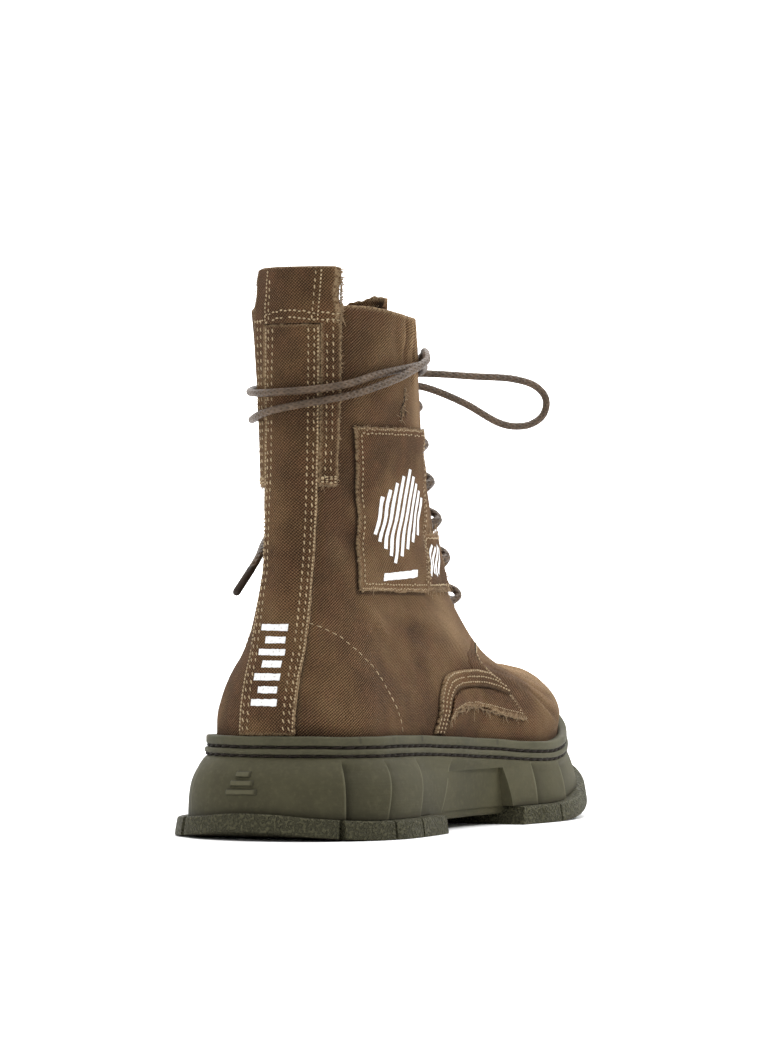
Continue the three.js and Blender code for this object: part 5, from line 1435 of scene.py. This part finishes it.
def crossings():
    lines = []
    for row in range(EYELET_ROWS - 1):
        for side in (-1, 1):
            h0, h1 = eyelet_height(row), eyelet_height(row + 1)
            a0, a1 = eyelet_arc(h0, side), eyelet_arc(h1, -side)
            t = np.array([0.0, 0.0, 0.06, 0.16, 0.32, 0.5, 0.68, 0.84, 0.94, 1.0, 1.0])
            middle = LACE_OVER + 0.4 + 1.25 * side
            proud = 2.6 if side < 0 else 0.8
            other = 0.8 if side < 0 else 2.6
            out = np.array([-2.6, 0.9, 3.6 + proud, 4.4 + proud, 3.6 + 0.3 * proud, middle,
                            3.6 + 0.3 * other, 4.4 + other, 3.6 + other, 0.9, -2.6])
            sag = np.array([0, 0, 0.6, 0.5, 0.1, 0, -0.3, -0.8, -0.8, 0, 0]) * 1.4
            h = mix(h0, h1, t) - sag
            u = front_u(h, mix(a0, a1, t))
            lines.append(catmull(skin(u, h, out, plain=True), 6))
    piece = tubes("lacing", lines, LACE_RADIUS, LACE, 12)
    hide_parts(*["lace_crossing_%d" % (row + 1) for row in range(EYELET_ROWS - 1)])
    h = eyelet_height(0)
    route = ((-12.5, -2.6), (-12.5, 1.0), (-9, 3.4), (0, 3.0), (9, 3.4), (12.5, 1.0), (12.5, -2.6))
    line = [skin(front_u(np.array([h]), np.array([a])), np.array([h]), o, plain=True)[0]
            for a, o in route]
    tubes("lacing_first", [catmull(line, 6)], LACE_RADIUS, LACE, 12)


def eyelets():
    hole, rim, tall = EYELET_HOLE / 2, EYELET_WIDTH / 2, 1.0
    section = np.array([(hole, -2.4), (hole, 0.3), (hole + 0.25, 0.8), (hole + 0.8, tall),
                        (rim - 0.8, 0.75), (rim - 0.2, 0.35), (rim, 0.0), (rim, -0.3)])
    n, m = 28, len(section)
    a = np.arange(n) * 2 * math.pi / n
    for word, side in (("outer", -1), ("inner", 1)):
        points, faces = [], []
        for row in range(EYELET_ROWS):
            h = eyelet_height(row)
            u = front_u(np.array([h]), np.array([eyelet_arc(h, side)]))
            base = skin(u, np.array([h]), 0.35, plain=True)[0]
            normal = upper_normal(u, np.array([h]))[0]
            x = unit(np.cross(normal, [0, 0, 1.0]))
            y = np.cross(normal, x)
            away = np.cos(a)[:, None, None] * x + np.sin(a)[:, None, None] * y
            ring = base + section[None, :, 0:1] * away + section[None, :, 1:2] * normal
            points.append(ring.reshape(-1, 3))
            faces.append(grid_faces(n, m, start=row * n * m, loop_i=True))
        piece = make("eyelet_rings_" + word, np.concatenate(points), np.concatenate(faces), METAL)
        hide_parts(*["eyelet_%s_%d" % (word, row + 1) for row in range(EYELET_ROWS)])


knot_piece()
crossings()
eyelets()


# Sole
def sharpen(piece, degrees=32):
    """Smooth shading, but for edges that turn by more than the degrees."""
    def mark(bm):
        for edge in bm.edges:
            if len(edge.link_faces) == 2:
                edge.smooth = edge.calc_face_angle(0.0) < math.radians(degrees)
        for face in bm.faces:
            face.smooth = True

    edit(piece, mark)


def stacked(name, around, levels, place, material, values=None):
    """A closed body of rings, place(u, up) over (n, m) grids; its ends are closed straight across."""
    n, m = len(around), len(levels)
    u = np.asarray(around)[:, None] * np.ones((1, m))
    up = np.asarray(levels)[None, :] * np.ones((n, 1))
    points = place(u, up).reshape(-1, 3)
    faces = [tuple(f) for f in grid_faces(n, m, loop_i=True)]
    for level, turn in ((0, 1), (m - 1, -1)):
        for i in range(n // 2):
            ring = [i, i + 1, n - i - 1, (n - i) % n]
            ring = [k for j, k in enumerate(ring) if k not in ring[:j]]
            if len(ring) > 2:
                faces.append(tuple(k * m + level for k in ring)[::turn])
    piece = make(name, points, faces, material, values=values)
    outward(piece)
    return piece


def prism(corners, half):
    """A solid of x, z corners, as wide as half on each side of the middle."""
    n = len(corners)
    points = [(x, side * half, z) for side in (-1, 1) for x, z in corners]
    faces = [tuple(range(n)), tuple(range(2 * n - 1, n - 1, -1))]
    faces += [(i, (i + 1) % n, n + (i + 1) % n, n + i) for i in range(n)]
    piece = make("cutter", points, faces, RUBBER_SIDE)
    outward(piece)
    return piece


def cut(piece, tool, operation="DIFFERENCE"):
    modifier = piece.modifiers.new("cut", "BOOLEAN")
    modifier.operation = operation
    modifier.object = tool
    modifier.solver = "EXACT"
    graph = bpy.context.evaluated_depsgraph_get()
    mesh = bpy.data.meshes.new_from_object(piece.evaluated_get(graph))
    piece.modifiers.clear()
    piece.data = mesh
    bpy.data.objects.remove(tool)


def wall_out(x, up):
    along = smooth((x / UPPER_LENGTH - 0.15) / 0.3)
    flare = mix(HEEL_FLARE, SIDE_FLARE, along)
    return WELT_OUT - PIECE_GAP + flare * (1 - np.power(up, mix(3.5, 1.8, along)))


def shingle(u):
    side = np.minimum(u, 1 - u)
    following = np.searchsorted(CREASES, side, side="right")
    low = CREASES[np.clip(following - 1, 0, len(CREASES) - 1)]
    high = CREASES[np.clip(following, 0, len(CREASES) - 1)]
    share = np.clip((side - low) / np.maximum(high - low, 1e-6), 0, 1)
    deep = SHINGLE_STEP + CREASE_CUT
    past = np.clip((side - low) / 0.006, 0, 1)
    waist = np.where(side > BLOCK_EDGE, 1.4 * np.clip(1 - (side - BLOCK_EDGE) / 0.07, 0, 1), 0.0)
    step = -deep * (1 - share) - CREASE_CUT * (1 - past) - waist
    return np.where(following == 0, 0.0, np.where(following == len(CREASES), -deep, step))


def crease_lean(u, up):
    side = np.minimum(u, 1 - u)
    share = read(CREASE_FADE, "around", "lean", side)
    return np.where(u < 0.5, -1, 1) * CREASE_LEAN * share * (1 - up)


def wall_point(u, up, proud=0.0):
    """A place on the sole's side wall, proud mm outside it."""
    x = outline(u, 0.0)[0]
    out = wall_out(x, up) + shingle(u) * smooth((1 - up) / 0.25) + proud
    flat = sole_plan(u + crease_lean(u, up), out)
    bottom = underside_height(flat[..., 0]) + TREAD_HEIGHT + PIECE_GAP
    top = feather_height(flat[..., 0]) - WELT_HEIGHT
    return np.concatenate([flat, mix(bottom, top, up)[..., None]], -1)


def plan_stack(name, around, levels, out, height, material):
    def place(u, up):
        flat = sole_plan(u, out(outline(u, 0.0)[0], up))
        return np.concatenate([flat, height(flat[..., 0], up)[..., None]], -1)

    return stacked(name, around, levels, place, material)


def symmetric(values):
    """Places around from 0 to just under 1, the same on both sides."""
    half = np.unique(np.concatenate([values, [0.0, 0.5]]))
    half = half[(half >= 0) & (half <= 0.5)]
    return np.concatenate([half, 1 - half[-2:0:-1]])


def midsole_piece():
    half = np.arange(0, 241) / 480
    edges = np.append(CREASES, BLOCK_EDGE)
    pairs = np.concatenate([edges + d for d in (-0.0022, -0.0004, 0.0004, 0.0030, 0.0060)])
    half = half[np.min(np.abs(half[:, None] - edges[None, :] - 0.002), 1) > 0.0048]
    around = symmetric(np.concatenate([half, pairs]))
    levels = np.concatenate([np.linspace(0, 0.9, 24), np.linspace(0.92, 1, 5)])
    side = np.minimum(around, 1 - around)
    lit = np.min(np.abs(side[:, None] - edges[None, :] + 0.0004), 1) < 0.0004
    # painted highlight: a light line at each crease of the wall
    pale_amount = 0.45 * lit[:, None] * smooth((1 - levels) / 0.3)[None, :]
    # painted shade: darker towards the tread and on each facet just past its crease
    under = smooth(1 - levels / 0.16)[None, :] * np.full((len(around), 1), 0.35)
    past = side[:, None] - edges[None, :]
    shade = np.max(np.where(past > 0, np.exp(-np.maximum(past, 0) / 0.011), 0), 1)
    under = np.maximum(under, 0.75 * shade[:, None] * smooth((1 - levels) / 0.25)[None, :])
    body = stacked("midsole_body", around, levels, wall_point, RUBBER_SIDE, {"wear_and_highlight": pale_amount, "painted_shade": under})
    even = symmetric(np.arange(0, 91) / 180)
    core = plan_stack("core", even, [0, 1], lambda x, up: wall_out(x, 0 * up) - RECESS_DEPTH,
                      lambda x, up: -5 + up * (RECESS_HEIGHT + 10), RUBBER_SIDE)
    recess = prism([(HEEL_BREAST + HEEL_BREAST_LEAN + 6, RECESS_HEIGHT), (HEEL_BREAST + 4, 0),
                    (RECESS_END + PIECE_GAP, 0), (RECESS_END - HEEL_BREAST_LEAN / 2, RECESS_HEIGHT)],
                   BALL_WIDTH)
    cut(recess, core)
    cut(body, recess)
    sharpen(body, 24)
    block = plan_stack("arch_block", even, [0, 0.04, 1],
                       lambda x, up: wall_out(x, 0 * up) - ARCH_INSET - 0.8 * (up < 0.01),
                       lambda x, up: mix(ARCH_CLEARANCE, RECESS_HEIGHT - PIECE_GAP, up), RUBBER_SIDE)
    span = prism([(HEEL_BREAST + HEEL_BREAST_LEAN / 2, RECESS_HEIGHT),
                  (HEEL_BREAST - TREAD_SETBACK + PIECE_GAP, 0), (FOREPART_START - PIECE_GAP, 0),
                  (FOREPART_START + FOREPART_LEAN - PIECE_GAP, TREAD_HEIGHT),
                  (FOREPART_START + FOREPART_LEAN - PIECE_GAP, RECESS_HEIGHT)], BALL_WIDTH)
    cut(block, span, "INTERSECT")
    sharpen(block)
    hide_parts("midsole")


def slot_cutter():
    points, faces = [], []
    for around, width in LIP_SLOTS:
        for u in (around, 1 - around):
            x = outline(u, 0.0)[0]
            edge = sole_plan(u, wall_out(x, 0.0) + LIP_OUT)
            way = unit(sole_plan(u + 0.002, WELT_OUT) - sole_plan(u - 0.002, WELT_OUT))
            inn = np.array([-way[1], way[0]])
            start = len(points)
            for z in (-5.0, 40.0):
                for a, b in ((1, 0), (0, 1), (-1, 0), (0, -1)):
                    spot = edge + way * a * width / 2 + inn * b * 4.5
                    points.append((spot[0], spot[1], z))
            faces += [tuple(start + k for k in f) for f in (
                (0, 1, 2, 3), (7, 6, 5, 4), (0, 4, 5, 1), (1, 5, 6, 2), (2, 6, 7, 3), (3, 7, 4, 0))]
    piece = make("slots", points, faces, RUBBER_TREAD)
    outward(piece)
    return piece


GROOVE_WIDTH, GROOVE_DEPTH, GROOVE_MARGIN = 3.0, 3.2, 9.0
HEEL_GROOVES = [10.0, 22.0, 34.0, 46.0, 58.0]
FORE_GROOVES = [172.0, 184.0, 196.0, 208.0, 220.0, 232.0, 244.0]


def groove_cutter(places):
    """Bars across the underside that leave its lip whole."""
    points, faces = [], []
    for x in places:
        side = np.linspace(0.0, 0.5, 200)
        plan = sole_plan(side, wall_out(outline(side, 0.0)[0], 0.0))
        half = float(np.interp(x, plan[:, 0], -plan[:, 1])) - GROOVE_MARGIN
        other = sole_plan(1 - side, wall_out(outline(side, 0.0)[0], 0.0))
        far = float(np.interp(x, other[:, 0], other[:, 1])) - GROOVE_MARGIN
        z = float(underside_height(x)) + GROOVE_DEPTH
        start = len(points)
        for top, wide in ((z - GROOVE_DEPTH - 4, 1.3), (z, 0.8)):
            w = GROOVE_WIDTH / 2 * wide
            points += [(x - w, -half, top), (x + w, -half, top), (x + w, far, top), (x - w, far, top)]
        faces += [tuple(start + k for k in f) for f in (
            (3, 2, 1, 0), (4, 5, 6, 7), (0, 1, 5, 4), (1, 2, 6, 5), (2, 3, 7, 6), (3, 0, 4, 7))]
    piece = make("grooves", points, faces, RUBBER_TREAD)
    outward(piece)
    return piece


RIB_START, RIB_END, RIB_PITCH = 155.5, 172.5, 3.4


def tread_pieces():
    around = symmetric(np.concatenate([np.arange(0, 221) / 440, np.linspace(0.245, 0.275, 50)]))
    levels = [0, 0.05, 0.12, 0.3, 0.5, 0.7, 0.82, 0.9, 0.95, 0.985, 1.0]

    def out(x, up):
        top = np.clip((up - 0.86) / 0.14, 0, 1)
        low = np.clip((0.08 - up) / 0.08, 0, 1)
        ribbed = (x > RIB_START) & (x < RIB_END) & (up > 0.15)
        rib = np.where(ribbed, np.cos(2 * math.pi * (x - RIB_START) / RIB_PITCH), -1)
        return (wall_out(x, 0 * up) + LIP_OUT * (1 - 0.25 * up) - 0.35 * (1 + rib)
                - 1.1 * (1 - np.sqrt(1 - top * top)) - 0.5 * (1 - np.sqrt(1 - low * low)))

    for name, node, grooves, corners in (
            ("tread_heel", "outsole_heel", HEEL_GROOVES,
             [(HEEL_BREAST - UPPER_LENGTH, -20), (HEEL_BREAST - TREAD_SETBACK, -20),
              (HEEL_BREAST - TREAD_SETBACK, 60), (HEEL_BREAST - UPPER_LENGTH, 60)]),
            ("tread_forepart", "outsole_forepart", FORE_GROOVES,
             [(FOREPART_START, 0), (FOREPART_START, -20), (FOREPART_START + UPPER_LENGTH, -20),
              (FOREPART_START + UPPER_LENGTH, TOE_STACK), (FOREPART_START + 3, TOE_STACK),
              (FOREPART_START + 3, TREAD_HEIGHT)])):
        piece = plan_stack(name, around, levels, out,
                           lambda x, up: underside_height(x) + TREAD_HEIGHT * up, RUBBER_TREAD)
        cut(piece, slot_cutter())
        cut(piece, groove_cutter(grooves))
        cut(piece, prism(corners, BALL_WIDTH), "INTERSECT")
        sharpen(piece)
        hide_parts(node)


WELT_SECTION = np.array([
    (0.3, 9.2), (0.3, 0.15), (1.6, 0.0), (3.6, 0.05), (4.3, 0.35), (4.6, 0.95), (4.65, 2.4), (4.55, 3.7),
    (4.2, 4.15), (3.3, 4.4), (3.1, 5.0), (3.5, 5.45), (4.6, 5.6), (5.1, 5.95), (5.3, 6.8), (5.2, 7.7),
    (4.8, 8.1), (3.9, 8.3), (3.8, 8.9), (4.6, 9.2),
])
WELT_ROWS = ((3.75, 4.75), (4.35, 8.55))
WELT_NICKS = np.array([0.085, 0.126, 0.171, 0.228, 0.262, 0.301, 0.345, 0.664, 0.741, 0.803, 0.901])


def welt_piece():
    n, m = 480, len(WELT_SECTION)
    u = (np.arange(n) / n)[:, None] * np.ones((1, m))
    soft = 0.16 * np.sin(2 * math.pi * u * 9) + 0.10 * np.sin(2 * math.pi * u * 23 + 1)
    flat = sole_plan(u, WELT_SECTION[None, :, 0] + soft * (WELT_SECTION[None, :, 0] > 2))
    z = feather_height(flat[..., 0]) - WELT_SECTION[None, :, 1] + soft * 0.6
    points = np.concatenate([flat, z[..., None]], -1)
    # painted shade: the welt's grooves and small nicks along its foot are darkened
    in_groove = np.isin(np.arange(m), [8, 9, 10, 11, 16, 17, 18]) * np.ones((n, 1))
    nick = np.max(np.exp(-((u[:, :1] - WELT_NICKS[None, :]) / 0.0009) ** 2), 1)[:, None]
    nick = nick * np.isin(np.arange(m), [2, 3, 4, 5, 6]) * 0.8
    piece = make("welt_ring", points, grid_faces(n, m, loop_i=True, loop_j=True), RUBBER_WELT,
                 values={"painted_shade": np.maximum(0.95 * in_groove, nick)})
    outward(piece)
    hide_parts("welt")


def welt_stitches():
    """Two rows of thick dark thread in the welt's grooves, each stitch a little across the row."""
    r = np.random.default_rng(170)
    points, normals = [], []
    u = np.linspace(0, 1, 1500)
    for out, depth in WELT_ROWS:
        flat = sole_plan(u, out)
        run = run_along(flat)
        count = int(run[-1] / 6.2)
        share = np.linspace(-0.08, 1.08, 7)[None, :]
        at = (np.arange(count)[:, None] + share) * run[-1] / count
        place = np.interp(at % run[-1], run, u)
        lean = mix(0.42, -0.42, np.clip(share, 0, 1)) + r.normal(0, 0.05, (count, 1))
        inn = np.array([-0.75, -0.1, 0.15, 0.2, 0.15, -0.1, -0.75])[None, :]
        flat = sole_plan(place, out + inn)
        z = feather_height(flat[..., 0]) - depth - lean
        points.append(np.concatenate([flat, z[..., None]], -1))
        away = unit(sole_plan(place, 6.0) - sole_plan(place, 1.0))
        normals.append(np.concatenate([away, np.zeros(away.shape[:2] + (1,))], -1))
    capsules("welt_stitches", np.concatenate(points), np.concatenate(normals), 0.62, WELT_THREAD,
             profile=(0.4, 0.85, 1.0, 1.0, 1.0, 0.85, 0.4), sides=8)


# Plain raised ribs at the back of the heel: (arc from the back, share of the wall's height, width)
HEEL_RIBS = [(-6.0, 0.72, 8.0), (-6.0, 0.56, 12.5), (-6.0, 0.40, 17.0)]


def heel_ribs():
    points, faces, dark = [], [], []
    n, m = 18, 9
    u = np.linspace(-0.1, 0.1, 400)
    flat = wall_point(u % 1.0, np.full(400, 0.5))
    run = run_along(flat)
    run -= np.interp(0, u, run)
    for k, (arc, up, width) in enumerate(HEEL_RIBS):
        a = np.linspace(-1, 1, n)[:, None]
        b = np.linspace(-1, 1, m)[None, :]
        place = np.interp(arc + a * width / 2 * np.ones((1, m)), run, u)
        rise = np.minimum(np.minimum(1 - np.abs(a), 0.16) / 0.16, np.minimum(1 - np.abs(b), 0.4) / 0.4)
        level = up + b * 0.058 * np.ones((n, 1))
        points.append(wall_point(place % 1.0, level, -0.1 + 1.4 * smooth(rise)).reshape(-1, 3))
        # painted shade round each rib's sloping edges; its flat top gets a painted highlight
        dark.append(0.85 * (1 - smooth(rise)))
        faces.append(grid_faces(n, m, start=k * n * m))
    piece = make("heel_ribs", np.concatenate(points), np.concatenate(faces), RUBBER_SIDE,
                 values={"painted_shade": np.concatenate(dark), "wear_and_highlight": 0.25 * (np.concatenate(dark) < 0.1)})
    outward(piece)


midsole_piece()
tread_pieces()
welt_piece()
welt_stitches()
heel_ribs()
insole = bpy.data.objects["insole"]
insole.data.materials.clear()
insole.data.materials.append(INSOLE_CLOTH)
